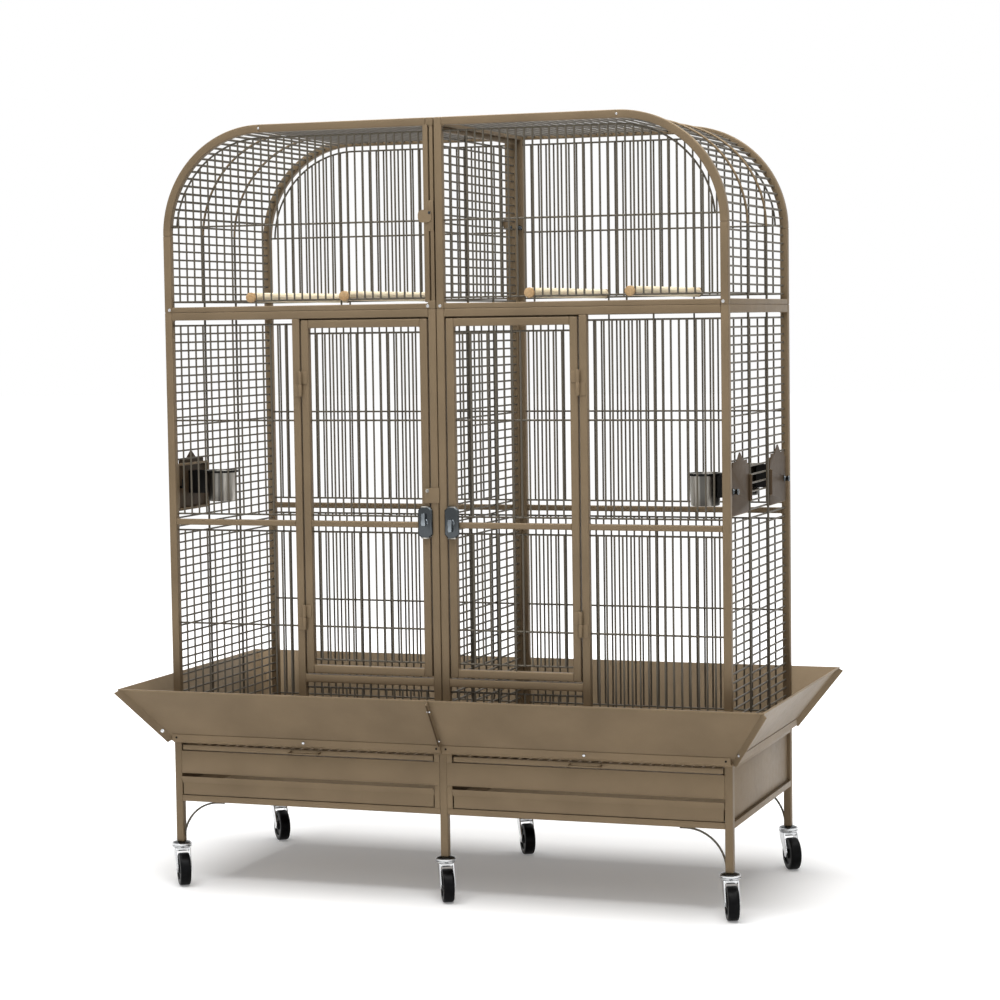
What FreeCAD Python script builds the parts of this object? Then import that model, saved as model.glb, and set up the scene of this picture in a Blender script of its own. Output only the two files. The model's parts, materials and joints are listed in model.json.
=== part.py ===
import FreeCAD, Part
import math
import os

# A free-standing double parrot cage on casters: two halves side by side with a divider between
# them, an arched roof, two front doors, three swing-out feeders, two floor grates and two trays.
# The origin is on the floor under the middle, +X runs to the right along the front, the front
# faces -Y and +Z is up. All sizes are in millimetres.

V = FreeCAD.Vector

# Frame
cage_width = 1422.0          # over the corner posts
cage_depth = 603.0           # over the corner posts
tube = 19.0                  # square tube of posts and rails
centre_gap = 2.0             # seam between the two halves
sheet = 1.5                  # folded steel sheet

# Welded bar panels
wire = 4.0                   # square bar with the area of a 4.5 mm round one
bar_pitch = 20.5             # upright bars of the front, the back and the doors
rung_pitch = 20.7            # level bars of the sides, the arch, the roof and the divider
mat_gap = 13.0               # from a rail to the axis of the nearest level wire
strut = 5.0                  # supports that carry the level bars
strut_gap = 9.0              # supports, from the frames of the feeder ports

# Heights of the stand, from the floor up
caster_height = 105.0
leg_drop = 102.0             # leg that shows under the base
bottom_rail = 15.0
tray_slot = 55.0
front_panel = 56.0           # sheet between the two slots
grate_slot = 20.0
top_strip = 10.0             # strip above the grate slot

# Heights of the body
lower_height = 1051.0        # lower frame, from the base to the seam
upper_height = 449.0         # upper frame, from the seam to the roof
seam_rail = 13.0             # flat rail that closes the upper frame's bottom
arch_radius = 261.0          # outside of the bent hoops
mid_rail_height = 14.0
mid_rail_level = 538.0       # middle of the flat rails, above the base
sill_level = 171.0           # top of the rail under the doors, above the base
high_wire = 249.0            # cross wires above and below the flat rails
low_wire = 250.0
arch_wire = 20.0             # cross wire of the front upper panels, above the arch's spring line
back_arch_wire = 7.0         # the same wire at the back

# Doors
door_width = 325.0
door_gap = 4.0
hinge_radius = 5.0
hinge_pin = 2.5
hinge_half = 30.0            # length of one knuckle
hinge_leaf = 17.0
hinge_plate = 2.0
upper_hinge_level = 875.0    # above the base
lower_hinge_level = 310.0
running_fit = 0.05           # radial clearance of a turning pin
clear = 0.3                  # gap between pieces that move past each other
door_turn_gap = 0.5          # what stands before a post clears it by this

# Locks
lock_width = 36.0
lock_height = 78.0
lock_corner = 10.0           # cut corners of the case
lock_depth = 8.0
lock_level = 545.0           # above the base
lock_shaft = 4.0
handle_length = 46.0
handle_width = 12.0
handle_depth = 13.0
tongue_length = 24.0
tongue_width = 11.0
tongue_plate = 3.0
stop_level = 591.0           # tab on the left door, above the base
stop_height = 36.0
stop_lap = 11.0              # how far the tab lies on the stile
stop_reach = 2.0             # how far the tab passes the middle of the cage

# Feeders
feeder_gap = 9.5             # frame of a feeder port, from the corner post
feeder_level = 565.0         # bottom of the plate, above the base
port_width = 160.0
port_height = 105.0
port_rod = 6.0
plate_lap = 3.0              # plate past the port on each side
plate_sheet = 2.0
step_height = 12.0           # first step of the plate's top
step_inset = 15.0
peak_height = 20.0           # point above the step
peak_half = 30.0
peak_tip = 3.0
cup_radius = 37.5
cup_height = 76.0
cup_wall = 1.2
cup_taper = 3.0
cup_rim = 3.0                # rim that sits on the ring
cup_inset = 82.0             # cup's middle, inside the plate
ring_drop = 14.0             # top of the cup ring, below the port's upper edge
ring_height = 5.0
ring_wall = 4.0
bracket_width = 36.0         # folded bracket that carries the ring
bracket_height = 56.0
feeder_pin = 2.5
feeder_knuckle = 4.5
feeder_knuckle_length = 60.0
knob_radius = 8.0
knob_length = 14.0
knob_inset = 13.0            # knob's axis, from the port's edge
latch_shaft = 3.0
latch_tongue = 20.0

# Divider, perches, grates and trays
divider_bar = 12.0
perch_radius = 12.0
perch_offsets = (243.0, 474.0)
perch_lift = 0.5             # perch's dowel above the panel's lowest wire
perch_dowel = 5.5            # radius of the dowel between the bars
perch_cap = 10.0             # thickness of the caps outside the bars
perch_cap_radius = 12.5
slide_gap = 3.0              # tray and grate to the sides of their slots
grate_pitch = 25.0
grate_bar = 6.0
grate_height = 13.0
pull_width = 81.0
pull_reach = 24.0
pull_rod = 5.0
tray_wall = 30.0
tray_lip = 16.0
tray_lip_reach = 8.0
tray_lip_gap = 0.5           # finger lip to the sides of its slot
runner_lap = 8.5             # shelves of the runners under the trays and the grates
runner_leg = 14.0
centre_web = 13.5            # front sheet beside the centre leg

# Skirts
skirt_run = 96.0             # how far the skirts stand out
skirt_rise = 133.0
skirt_lip = 5.0
skirt_flange = 14.0          # bolted flanges of the corners and the front seam

# Casters and leg braces
wheel_radius = 40.0
wheel_width = 28.0
caster_trail = 30.0
front_turns = (214.0, 207.0, 202.0)  # degrees that the casters stand turned, from the left
back_turns = (219.0, 211.0, 211.0)
head_radius = 24.5
head_height = 14.0
fork_plate = 3.0
fork_gap = 1.5               # wheel to fork
fork_width = 34.0
fork_foot = 9.0
axle_radius = 4.0
pivot_radius = 5.0
pivot_length = 9.0
pin_sides = 12               # sides of pins, their bores and perches
brace_rod = 4.4
brace_run = 95.0
brace_drop = 80.0
brace_weld = 15.0
round_sides = 18             # sides of cups and their rings

# Derived places
half_w = cage_width / 2
half_d = cage_depth / 2
in_x = half_w - tube
in_y = half_d - tube
mid_x = half_w - tube / 2
mid_y = half_d - tube / 2
base_bottom = caster_height + leg_drop
tray_z = base_bottom + bottom_rail
panel_z = tray_z + tray_slot
grate_z = panel_z + front_panel
strip_z = grate_z + grate_slot
base_top = strip_z + top_strip
seam_z = base_top + lower_height
roof_z = seam_z + upper_height
arch_x = half_w - arch_radius
spring_z = roof_z - arch_radius
low_rail_z = base_top + tube
top_rail_z = seam_z - tube
mid_rail_z = base_top + mid_rail_level - mid_rail_height / 2
mid_rail_top = mid_rail_z + mid_rail_height
upper_rail_z = seam_z + seam_rail
roof_rail_z = roof_z - tube
post_x = centre_gap / 2 + tube
door_x = post_x + door_gap
door_end = door_x + door_width
jamb_x = door_end + door_gap
jamb_end = jamb_x + tube
sill_top = base_top + sill_level
door_z = sill_top + door_gap
door_top = top_rail_z - door_gap
hinge_x = door_end + door_gap / 2
hinge_y = -half_d - hinge_radius
mid_rail_axis = mid_rail_z + mid_rail_height / 2
mat_levels = (mid_rail_axis + high_wire, mid_rail_axis - low_wire)
lock_x = door_x + tube / 2
lock_z = base_top + lock_level
bay_x = tube / 2 + centre_web
feeder_offset = in_y - feeder_gap - port_rod - port_width / 2
strut_offset = feeder_offset - port_width / 2 - port_rod - strut_gap
rung_span = in_y


def block(x0, x1, y0, y1, z0, z1):
    """Box between two corners."""
    return Part.makeBox(x1 - x0, y1 - y0, z1 - z0, V(x0, y0, z0))


def mirrored(shape, x=0.0, y=0.0):
    """Copy on the other side of the middle, across X or across Y."""
    return shape.mirror(V(0, 0, 0), V(x, y, 0))


def both_halves(shapes):
    """The shapes of the right half with their copies on the left."""
    return shapes + [mirrored(shape, x=1.0) for shape in shapes]


def front_and_back(shapes):
    """The shapes of the front with their copies at the back."""
    return shapes + [mirrored(shape, y=1.0) for shape in shapes]


def face_of(points):
    """Flat face inside a closed outline."""
    corners = [V(*point) for point in points]
    return Part.Face(Part.makePolygon(corners + corners[:1]))


def plate(points, depth):
    """Flat plate: a closed outline pushed along depth."""
    return face_of(points).extrude(V(*depth))


def prism(radius, sides, centre, along):
    """Straight prism whose flats touch a circle of the given radius."""
    axis = V(*along)
    side = V(0, 0, 1) if abs(axis.z) < axis.Length / 2 else V(1, 0, 0)
    other = axis.cross(side).normalize()
    corner = radius / math.cos(math.pi / sides)
    points = []
    for index in range(sides):
        angle = 2 * math.pi * (index + 0.5) / sides
        points.append(V(*centre) + side * (corner * math.cos(angle)) + other * (corner * math.sin(angle)))
    return plate(points, along)


def round_pin(radius, centre, along):
    """Turning pin, many-sided, that fits inside a circle of the given radius."""
    return prism(radius * math.cos(math.pi / pin_sides), pin_sides, centre, along)


def rod(radius, centre, along):
    """Round rod."""
    axis = V(*along)
    return Part.makeCylinder(radius, axis.Length, V(*centre), axis)


def spread(start, end, pitch):
    """Places between two edges, evenly spaced at about the pitch, without the edges."""
    gaps = max(2, round((end - start) / pitch))
    return [start + (end - start) * index / gaps for index in range(1, gaps)]


def levels(start, end, pitch):
    """Places from a start to an end, both included, evenly spaced at about the pitch."""
    gaps = max(1, round((end - start) / pitch))
    return [start + (end - start) * index / gaps for index in range(gaps + 1)]


def struts_of(count):
    """Which upright bars of a panel reach its rails: the middle one, or one at each third."""
    if count % 2:
        return {count // 2}
    return {count // 3, count - 1 - count // 3}


def upright_mat(x0, x1, z0, z1, wires, tops=None):
    """Front panel of upright bars, outside, welded to level wires, inside."""
    places = spread(x0, x1, bar_pitch)
    reach = struts_of(len(places))
    solids = []
    for index, x in enumerate(places):
        low = z0 if index in reach else z0 + mat_gap - wire / 2
        high = z1 if index in reach else z1 - mat_gap + wire / 2
        if tops:
            high = min(high, tops(x))
        solids.append(block(x - wire / 2, x + wire / 2, -mid_y - wire, -mid_y, low, high))
    for z in wires:
        solids.append(block(x0, x1, -mid_y, -mid_y + wire, z - wire / 2, z + wire / 2))
    return solids


def edge_wires(z0, z1):
    """Levels of a panel's first and last wires."""
    return [z0 + mat_gap, z1 - mat_gap]


def stand_legs():
    """Six legs of square tube."""
    corner = block(in_x, half_w, -half_d, -in_y, caster_height, base_top)
    centre = block(-tube / 2, tube / 2, -half_d, -in_y, caster_height, base_top)
    return front_and_back(both_halves([corner]) + [centre])


def leg_braces():
    """Bent rods between the corner legs and the base."""
    radius = (brace_run ** 2 + brace_drop ** 2) / (2 * brace_drop)
    start = in_x - brace_run
    axis = V(start, -mid_y, base_bottom - brace_rod / 2 - radius)
    turn = math.degrees(math.asin(brace_run / radius))
    y0 = -mid_y - brace_rod / 2
    y1 = y0 + brace_rod
    low = base_bottom - brace_rod
    section = face_of(((start, y0, low), (start, y1, low),
                       (start, y1, base_bottom), (start, y0, base_bottom)))
    bend = section.revolve(axis, V(0, 1, 0), turn + brace_rod)
    bend = bend.cut(block(in_x, half_w, -half_d, 0, caster_height, base_bottom))
    weld = block(start - brace_weld, start, y0, y1, low, base_bottom)
    return front_and_back(both_halves([bend.fuse(weld).removeSplitter()]))


def base_panels():
    """Rails and sheets that close the base round the two bays."""
    leg = tube / 2
    front = [block(leg, in_x, -half_d, -in_y, base_bottom, tray_z),
             block(leg, in_x, -half_d, -in_y, strip_z, base_top)]
    for z0, z1 in ((tray_z, panel_z), (grate_z, strip_z)):
        front.append(block(leg, bay_x, -half_d, -half_d + sheet, z0, z1))
    fold = runner_leg
    outline = ((leg, -half_d, panel_z), (leg, -half_d + fold, panel_z),
               (leg, -half_d + fold, panel_z + sheet), (leg, -half_d + sheet, panel_z + sheet),
               (leg, -half_d + sheet, grate_z - sheet), (leg, -half_d + fold, grate_z - sheet),
               (leg, -half_d + fold, grate_z), (leg, -half_d, grate_z))
    front.append(plate(outline, (in_x - leg, 0, 0)))
    back = [block(leg, in_x, in_y, half_d, base_bottom, tray_z),
            block(leg, in_x, in_y, half_d, base_top - tube, base_top),
            block(leg, in_x, mid_y, mid_y + sheet, tray_z, base_top - tube)]
    side = [block(in_x, half_w, -in_y, in_y, base_bottom, tray_z),
            block(in_x, half_w, -in_y, in_y, base_top - tube, base_top),
            block(mid_x, mid_x + sheet, -in_y, in_y, tray_z, base_top - tube)]
    middle = [block(-leg, leg, -in_y, in_y, base_bottom, tray_z),
              block(-leg, leg, -in_y, in_y, base_top - tube, base_top),
              block(-sheet / 2, sheet / 2, -in_y, in_y, tray_z, base_top - tube)]
    return both_halves(front + back + side) + middle


def runner_pair(z0, leg_up):
    """Angle runners on both sides of the right bay, with their shelves at one level."""
    low = z0 if leg_up else z0 + sheet - runner_leg
    lap = slide_gap + runner_lap
    solids = []
    for wall, end in ((mid_x, in_x - lap), (sheet / 2, bay_x + lap)):
        shelf = sorted((wall, end))
        leg = sorted((wall, wall + math.copysign(sheet, end - wall)))
        angle = block(shelf[0], shelf[1], -in_y, in_y, z0, z0 + sheet)
        solids.append(angle.fuse(block(leg[0], leg[1], -in_y, in_y, low, low + runner_leg)).removeSplitter())
    return solids


def base_runners():
    """Runners that carry the trays and the grates."""
    return both_halves(runner_pair(tray_z, True) + runner_pair(grate_z, False))


def tray(z0=tray_z + sheet + clear):
    """Right tray: a folded pan with a finger lip along its front."""
    x0 = bay_x + slide_gap
    x1 = in_x - slide_gap
    y0 = -half_d + sheet
    y1 = in_y - slide_gap
    pan = block(x0, x1, y0, y1, z0, z0 + tray_wall)
    pan = pan.cut(block(x0 + sheet, x1 - sheet, y0 + sheet, y1 - sheet, z0 + sheet, z0 + tray_wall + sheet))
    top = z0 + tray_wall
    start = bay_x + tray_lip_gap
    edge = top + tray_lip
    out = y0 - tray_lip_reach
    lip = plate(((start, y0, top - sheet), (start, y0 + sheet, top - sheet), (start, y0 + sheet, top),
                 (start, out + sheet, edge), (start, out, edge), (start, y0, top)),
                (in_x - tray_lip_gap - start, 0, 0))
    return [pan.fuse(lip).removeSplitter()]


def grate(z0=grate_z + sheet + clear):
    """Right floor grate: a flat-bar frame, bars from front to back and a pull."""
    x0 = bay_x + slide_gap
    x1 = in_x - slide_gap
    y0 = -half_d + sheet
    y1 = in_y - slide_gap
    z1 = z0 + grate_height
    bar_z = z0 + grate_height / 2
    solids = [block(x0, x1, y0, y0 + grate_bar, z0, z1), block(x0, x1, y1 - grate_bar, y1, z0, z1),
              block(x0, x0 + grate_bar, y0 + grate_bar, y1 - grate_bar, z0, z1),
              block(x1 - grate_bar, x1, y0 + grate_bar, y1 - grate_bar, z0, z1)]
    for x in spread(x0 + grate_bar, x1 - grate_bar, grate_pitch):
        solids.append(block(x - wire / 2, x + wire / 2, y0 + grate_bar, y1 - grate_bar, bar_z, bar_z + wire))
    for y in (-strut_offset, strut_offset):
        solids.append(block(x0 + grate_bar, x1 - grate_bar, y - wire / 2, y + wire / 2, bar_z - wire, bar_z))
    left = (x0 + x1 - pull_width) / 2
    right = left + pull_width
    grip = y0 - pull_reach
    low = bar_z - pull_rod / 2
    solids.append(block(left, right, grip, grip + pull_rod, low, low + pull_rod))
    for x in (left, right - pull_rod):
        solids.append(block(x, x + pull_rod, grip + pull_rod, y0, low, low + pull_rod))
    return solids


def skirt_panel(face, start, end, seam_at_start):
    """One skirt before a wall at y = -face, along X from start to end, with bolted end flanges."""
    lean = math.atan2(skirt_run, skirt_rise)
    out = V(0, -math.cos(lean), -math.sin(lean)) * skirt_flange
    root = V(0, -face - sheet, base_top - sheet * math.tan(lean / 2))
    crest_z = base_top + skirt_rise
    crest = V(0, -face - skirt_run - sheet * math.tan(math.pi / 4 - lean / 2), crest_z - sheet)
    tip_y = -face - skirt_run - skirt_lip
    span = 2 * (skirt_run + skirt_lip + skirt_flange)
    x0 = start if seam_at_start else start - span
    outline = ((x0, -face, strip_z), (x0, -face, base_top), (x0, -face - skirt_run, crest_z),
               (x0, tip_y, crest_z), (x0, tip_y, crest_z - sheet), (x0, crest.y, crest.z),
               (x0, root.y, root.z), (x0, root.y, strip_z))
    band = ((x0, root.y, root.z), (x0, crest.y, crest.z), (x0, crest.y + out.y, crest.z + out.z),
            (x0, root.y + out.y, root.z + out.z))
    length = (end + span - x0, 0, 0)
    panel = plate(outline, length)
    strip = plate(band, length)
    low = base_bottom
    tall = (0, 0, crest_z + sheet - low)
    ends = [(end, 1)] if seam_at_start else [(end, 1), (start, -1)]
    flanges = []
    for edge, way in ends:
        corner = (edge, -face, low)
        beyond = plate((corner, (edge + way * 2 * span, -face, low),
                        (edge + way * 2 * span, -face - 2 * span, low)), tall)
        shift = way * sheet * math.sqrt(2)
        slab = plate((corner, (edge + way * span, -face - span, low),
                      (edge + way * span - shift, -face - span, low), (edge - shift, -face, low)), tall)
        panel = panel.cut(beyond)
        flanges.append(strip.common(slab))
    if seam_at_start:
        flanges.append(plate(band, (sheet, 0, 0)))
    return panel.multiFuse(flanges).removeSplitter()


def side_skirt():
    """Right skirt, turned from a panel that is made before the front."""
    panel = skirt_panel(half_w, -half_d, half_d, False)
    panel.rotate(V(0, 0, 0), V(0, 0, 1), 90)
    return [panel]


def lower_frame():
    """Posts, rails and sills of the lower section."""
    posts = [block(in_x, half_w, -half_d, -in_y, base_top, seam_z),
             block(centre_gap / 2, post_x, -half_d, -in_y, base_top, seam_z)]
    rails = [block(post_x, in_x, -half_d, -in_y, base_top, low_rail_z),
             block(post_x, in_x, -half_d, -in_y, top_rail_z, seam_z)]
    solids = front_and_back(posts + rails)
    solids.append(block(jamb_x, jamb_end, -half_d, -in_y, low_rail_z, top_rail_z))
    solids.append(block(post_x, jamb_x, -half_d, -in_y, sill_top - tube, sill_top))
    solids.append(block(jamb_end, in_x, -half_d, -in_y, mid_rail_z, mid_rail_top))
    solids.append(block(post_x, in_x, in_y, half_d, mid_rail_z, mid_rail_top))
    for z0, z1 in ((base_top, low_rail_z), (top_rail_z, seam_z)):
        solids.append(block(in_x, half_w, -in_y, in_y, z0, z1))
    return both_halves(solids)


def two_mats(x0, x1, z0, z1):
    """Upper and lower bar panels on either side of a flat rail."""
    high = upright_mat(x0, x1, mid_rail_top, z1, edge_wires(mid_rail_top, z1) + [mat_levels[0]])
    low = upright_mat(x0, x1, z0, mid_rail_z, edge_wires(z0, mid_rail_z) + [mat_levels[1]])
    return high + low


def front_lower_bars():
    """Fixed panels beside the doors, and the strips of bars under them."""
    strip_end = sill_top - tube
    strip = upright_mat(post_x, jamb_x, low_rail_z, strip_end, edge_wires(low_rail_z, strip_end))
    return both_halves(two_mats(jamb_end, in_x, low_rail_z, top_rail_z) + strip)


def back_lower_bars():
    """Panels of the lower back."""
    return both_halves([mirrored(bar, y=1.0) for bar in two_mats(post_x, in_x, low_rail_z, top_rail_z)])


def rim_top(x):
    """Where an upright bar of the upper panel ends under the arch."""
    rim = arch_radius - tube - mat_gap
    if x <= arch_x:
        return spring_z + rim + wire / 2
    return spring_z + math.sqrt(max(rim ** 2 - (x - arch_x) ** 2, 0.0))


def arc_bar(radius, depth, y0, width, start_angle):
    """Bent bar round the arch from an angle over the spring line to the roof."""
    x1 = arch_x + radius
    section = face_of(((x1 - depth, y0, spring_z), (x1, y0, spring_z),
                       (x1, y0 + width, spring_z), (x1 - depth, y0 + width, spring_z)))
    section.rotate(V(arch_x, 0, spring_z), V(0, -1, 0), start_angle)
    return section.revolve(V(arch_x, 0, spring_z), V(0, -1, 0), 90 - start_angle)


def upper_panel(cross_level):
    """Arched panel of the right half: upright bars, a level wire at each edge and a cross wire."""
    inside = arch_radius - tube
    roof_wire = spring_z + inside - mat_gap
    cross = spring_z + cross_level
    end = arch_x + math.sqrt(inside ** 2 - (cross_level + wire / 2) ** 2)
    bars = upright_mat(post_x, in_x, upper_rail_z, roof_rail_z, (upper_rail_z + mat_gap,), rim_top)
    for x, z in ((arch_x, roof_wire), (end, cross)):
        bars.append(block(post_x, x, -mid_y, -mid_y + wire, z - wire / 2, z + wire / 2))
    return bars


def rim_wire(cross_level):
    """Bent wire under a front hoop, from the cross wire to the roof."""
    rim = arch_radius - tube - mat_gap
    start = math.degrees(math.asin((cross_level + wire / 2) / (rim - wire / 2)))
    return arc_bar(rim + wire / 2, wire, -mid_y, wire, start)


def front_upper_bars():
    """Arched panels of the upper front."""
    return both_halves(upper_panel(arch_wire))


def back_upper_bars():
    """Arched panels of the upper back."""
    return both_halves([mirrored(bar, y=1.0) for bar in upper_panel(back_arch_wire)])


def rim_wires():
    """Bent wires of the four upper panels."""
    return both_halves([rim_wire(arch_wire), mirrored(rim_wire(back_arch_wire), y=1.0)])


def cut_rung(z, ports):
    """Stretches of a level side bar that are left between the feeder ports."""
    stretches = [(-rung_span, rung_span)]
    low = base_top + feeder_level + plate_lap - port_rod
    high = low + port_height + 2 * port_rod
    if z + wire / 2 > low and z - wire / 2 < high:
        for centre in ports:
            half = port_width / 2 + port_rod
            kept = []
            for start, end in stretches:
                if start < centre - half:
                    kept.append((start, min(end, centre - half)))
                if end > centre + half:
                    kept.append((max(start, centre + half), end))
            stretches = kept
    return stretches


def side_bars(ports):
    """Right side of the lower section: level bars, inside, on upright supports, outside."""
    solids = []
    for z in levels(low_rail_z + mat_gap, top_rail_z - mat_gap, rung_pitch):
        for start, end in cut_rung(z, ports):
            solids.append(block(mid_x - wire, mid_x, start, end, z - wire / 2, z + wire / 2))
    for y in (-strut_offset, strut_offset):
        solids.append(block(mid_x, mid_x + strut, y - strut / 2, y + strut / 2, low_rail_z, top_rail_z))
    return solids


def arch_bars():
    """Right side of the upper section: level bars up the side, over the arch and along the roof."""
    bend = arch_radius - tube / 2
    upright = spring_z - upper_rail_z - mat_gap
    quarter = bend * math.pi / 2
    flat = arch_x - post_x - mat_gap
    solids = []
    for along in levels(0.0, upright + quarter + flat, rung_pitch):
        if along <= upright:
            z = upper_rail_z + mat_gap + along
            bar = block(mid_x - wire, mid_x, -rung_span, rung_span, z - wire / 2, z + wire / 2)
        elif along < upright + quarter:
            bar = block(mid_x - wire, mid_x, -rung_span, rung_span, spring_z - wire / 2, spring_z + wire / 2)
            bar.rotate(V(arch_x, 0, spring_z), V(0, -1, 0), math.degrees((along - upright) / bend))
        else:
            x = arch_x - (along - upright - quarter)
            z = spring_z + bend
            bar = block(x - wire / 2, x + wire / 2, -rung_span, rung_span, z - wire, z)
        solids.append(bar)
    for y in (-strut_offset, strut_offset):
        solids.append(block(mid_x, mid_x + strut, y - strut / 2, y + strut / 2, upper_rail_z, spring_z))
        z = spring_z + bend
        solids.append(block(post_x, arch_x, y - strut / 2, y + strut / 2, z, z + strut))
    return solids


def upper_hoops():
    """Four bent corner hoops, and the bends of the supports between them."""
    upright = block(in_x, half_w, -half_d, -in_y, seam_z, spring_z)
    bend = arc_bar(arch_radius, tube, -half_d, tube, 0.0)
    outside = arch_radius - tube / 2 + strut
    support = arc_bar(outside, strut, -strut_offset - strut / 2, strut, 0.0)
    return both_halves(front_and_back([upright, bend, support]))


def upper_frame():
    """Centre posts, rails and roof beams of the upper section."""
    solids = front_and_back([block(centre_gap / 2, post_x, -half_d, -in_y, seam_z, roof_z),
                             block(post_x, in_x, -half_d, -in_y, seam_z, upper_rail_z),
                             block(post_x, arch_x, -half_d, -in_y, roof_rail_z, roof_z)])
    solids.append(block(in_x, half_w, -in_y, in_y, seam_z, upper_rail_z))
    solids.append(block(centre_gap / 2, post_x, -in_y, in_y, roof_rail_z, roof_z))
    return both_halves(solids)


def divider_rails():
    """Levels of the divider's rails, each with its lower and upper edge."""
    seam = (seam_z - divider_bar / 2, seam_z + divider_bar / 2)
    return (base_top, base_top + divider_bar), seam, (roof_rail_z - divider_bar, roof_rail_z)


def divider_frame():
    """Frame of the divider, between the front and the back centre posts."""
    half = divider_bar / 2
    solids = front_and_back([block(-half, half, -in_y, -in_y + divider_bar, base_top, roof_rail_z)])
    for z0, z1 in divider_rails():
        solids.append(block(-half, half, -in_y + divider_bar, in_y - divider_bar, z0, z1))
    return solids


def divider_bars():
    """Level bars of the divider on two upright supports."""
    end = in_y - divider_bar
    rails = divider_rails()
    solids = []
    for below, above in zip(rails, rails[1:]):
        for z in levels(below[1] + mat_gap, above[0] - mat_gap, rung_pitch):
            solids.append(block(-wire / 2, wire / 2, -end, end, z - wire / 2, z + wire / 2))
        for y in (-strut_offset, strut_offset):
            solids.append(block(wire / 2, wire / 2 + strut, y - strut / 2, y + strut / 2, below[1], above[0]))
    return solids


def perch_places():
    """Perches stand in the gap between two upright bars that is nearest to their place."""
    bars = spread(post_x, in_x, bar_pitch)
    gaps = [(left + right) / 2 for left, right in zip(bars, bars[1:])]
    return [min(gaps, key=lambda gap: abs(gap - offset)) for offset in perch_offsets]


def perches():
    """Wooden perches between the front and the back, held by a dowel through the bars and two caps."""
    z = upper_rail_z + mat_gap + wire / 2 + perch_lift + perch_dowel
    inside = mid_y - wire
    outside = mid_y + wire
    solids = []
    for x in perch_places():
        perch = prism(perch_radius, pin_sides, (x, -inside, z), (0, 2 * inside, 0))
        dowel = prism(perch_dowel, pin_sides, (x, -outside, z), (0, 2 * outside, 0))
        cap = prism(perch_cap_radius, pin_sides, (x, -outside - perch_cap, z), (0, perch_cap, 0))
        solids.append(perch.multiFuse([dowel] + front_and_back([cap])).removeSplitter())
    return both_halves(solids)


def hinge_leaf_block(z0, way):
    """Hinge leaf on a front face, on one side of the pin, and its knuckle."""
    x0, x1 = sorted((hinge_x, hinge_x + way * hinge_leaf))
    leaf = block(x0, x1, -half_d - hinge_plate, -half_d, z0, z0 + hinge_half)
    return leaf.fuse(prism(hinge_radius, pin_sides, (hinge_x, hinge_y, z0), (0, 0, hinge_half)))


def door_hinge_pins():
    """Fixed halves of the door hinges on the jambs, with their pins."""
    solids = []
    for level in (upper_hinge_level, lower_hinge_level):
        z = base_top + level
        pin = round_pin(hinge_pin, (hinge_x, hinge_y, z - hinge_half), (0, 0, 2 * hinge_half))
        solids.append(hinge_leaf_block(z - hinge_half, 1).fuse(pin).removeSplitter())
    return both_halves(solids)


def door_frame():
    """Right door: stiles, rails, flat mid rail and the moving halves of its hinges."""
    inner = block(door_x, door_x + tube, -half_d, -in_y, door_z, door_top)
    inner = inner.cut(prism(lock_shaft + clear, pin_sides, (lock_x, -half_d, lock_z), (0, tube, 0)))
    outer = block(door_end - tube, door_end, -half_d, -in_y, door_z, door_top)
    solids = [inner, outer]
    for z0, z1 in ((door_z, door_z + tube), (mid_rail_z, mid_rail_top), (door_top - tube, door_top)):
        solids.append(block(door_x + tube, door_end - tube, -half_d, -in_y, z0, z1))
    for level in (upper_hinge_level, lower_hinge_level):
        z = base_top + level + clear
        bore = rod(hinge_pin + running_fit, (hinge_x, hinge_y, z), (0, 0, hinge_half))
        solids.append(hinge_leaf_block(z, -1).removeSplitter().cut(bore))
    return solids


def door_bars():
    """Bar panels of the right door."""
    return two_mats(door_x + tube, door_end - tube, door_z + tube, door_top - tube)


def lock_case():
    """Eight-sided lock case on the right door's inner stile, clear of the centre post."""
    back = -half_d - door_turn_gap
    half_x = lock_width / 2
    half_z = lock_height / 2
    right = [(half_x - lock_corner, -half_z), (half_x, lock_corner - half_z),
             (half_x, half_z - lock_corner), (half_x - lock_corner, half_z)]
    outline = [(lock_x + x, back, lock_z + z) for x, z in right]
    outline += [(lock_x - x, back, lock_z + z) for x, z in reversed(right)]
    case = plate(outline, (0, -lock_depth, 0))
    pad = tube / 2 - door_turn_gap
    case = case.fuse(block(lock_x - pad, lock_x + pad, back, -half_d, lock_z - 2 * pad, lock_z + 2 * pad))
    bore = rod(lock_shaft + running_fit, (lock_x, back - lock_depth, lock_z), (0, lock_depth + tube, 0))
    return [case.cut(bore).removeSplitter()]


def lock_handle():
    """Thumb turn, shaft and tongue of the right lock, shown with the tongue up and the door free."""
    front = -half_d - door_turn_gap - lock_depth - clear
    tail = -in_y + clear + tongue_plate
    shaft = round_pin(lock_shaft, (lock_x, front - clear, lock_z), (0, tail - front + clear, 0))
    half = handle_width / 2
    grip = block(lock_x - half, lock_x + half, front - handle_depth, front,
                 lock_z - handle_length / 2, lock_z + handle_length / 2)
    tongue = block(lock_x - tongue_width / 2, lock_x + tongue_width / 2, tail - tongue_plate, tail,
                   lock_z - tongue_width / 2, lock_z + tongue_length)
    return [grip.fuse(shaft).fuse(tongue).removeSplitter()]


def left_door_stop():
    """Tab on the left door's inner stile that rests before the centre posts."""
    z = base_top + stop_level
    face = -half_d - door_turn_gap
    start = -door_x - stop_lap
    tab = block(start, stop_reach, face - hinge_plate, face, z, z + stop_height)
    pad = block(start, -door_x, face, -half_d, z, z + stop_height)
    return [tab.fuse(pad).removeSplitter()]


def port_place():
    """Lower and upper edge of the feeder ports."""
    low = base_top + feeder_level + plate_lap
    return low, low + port_height


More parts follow.
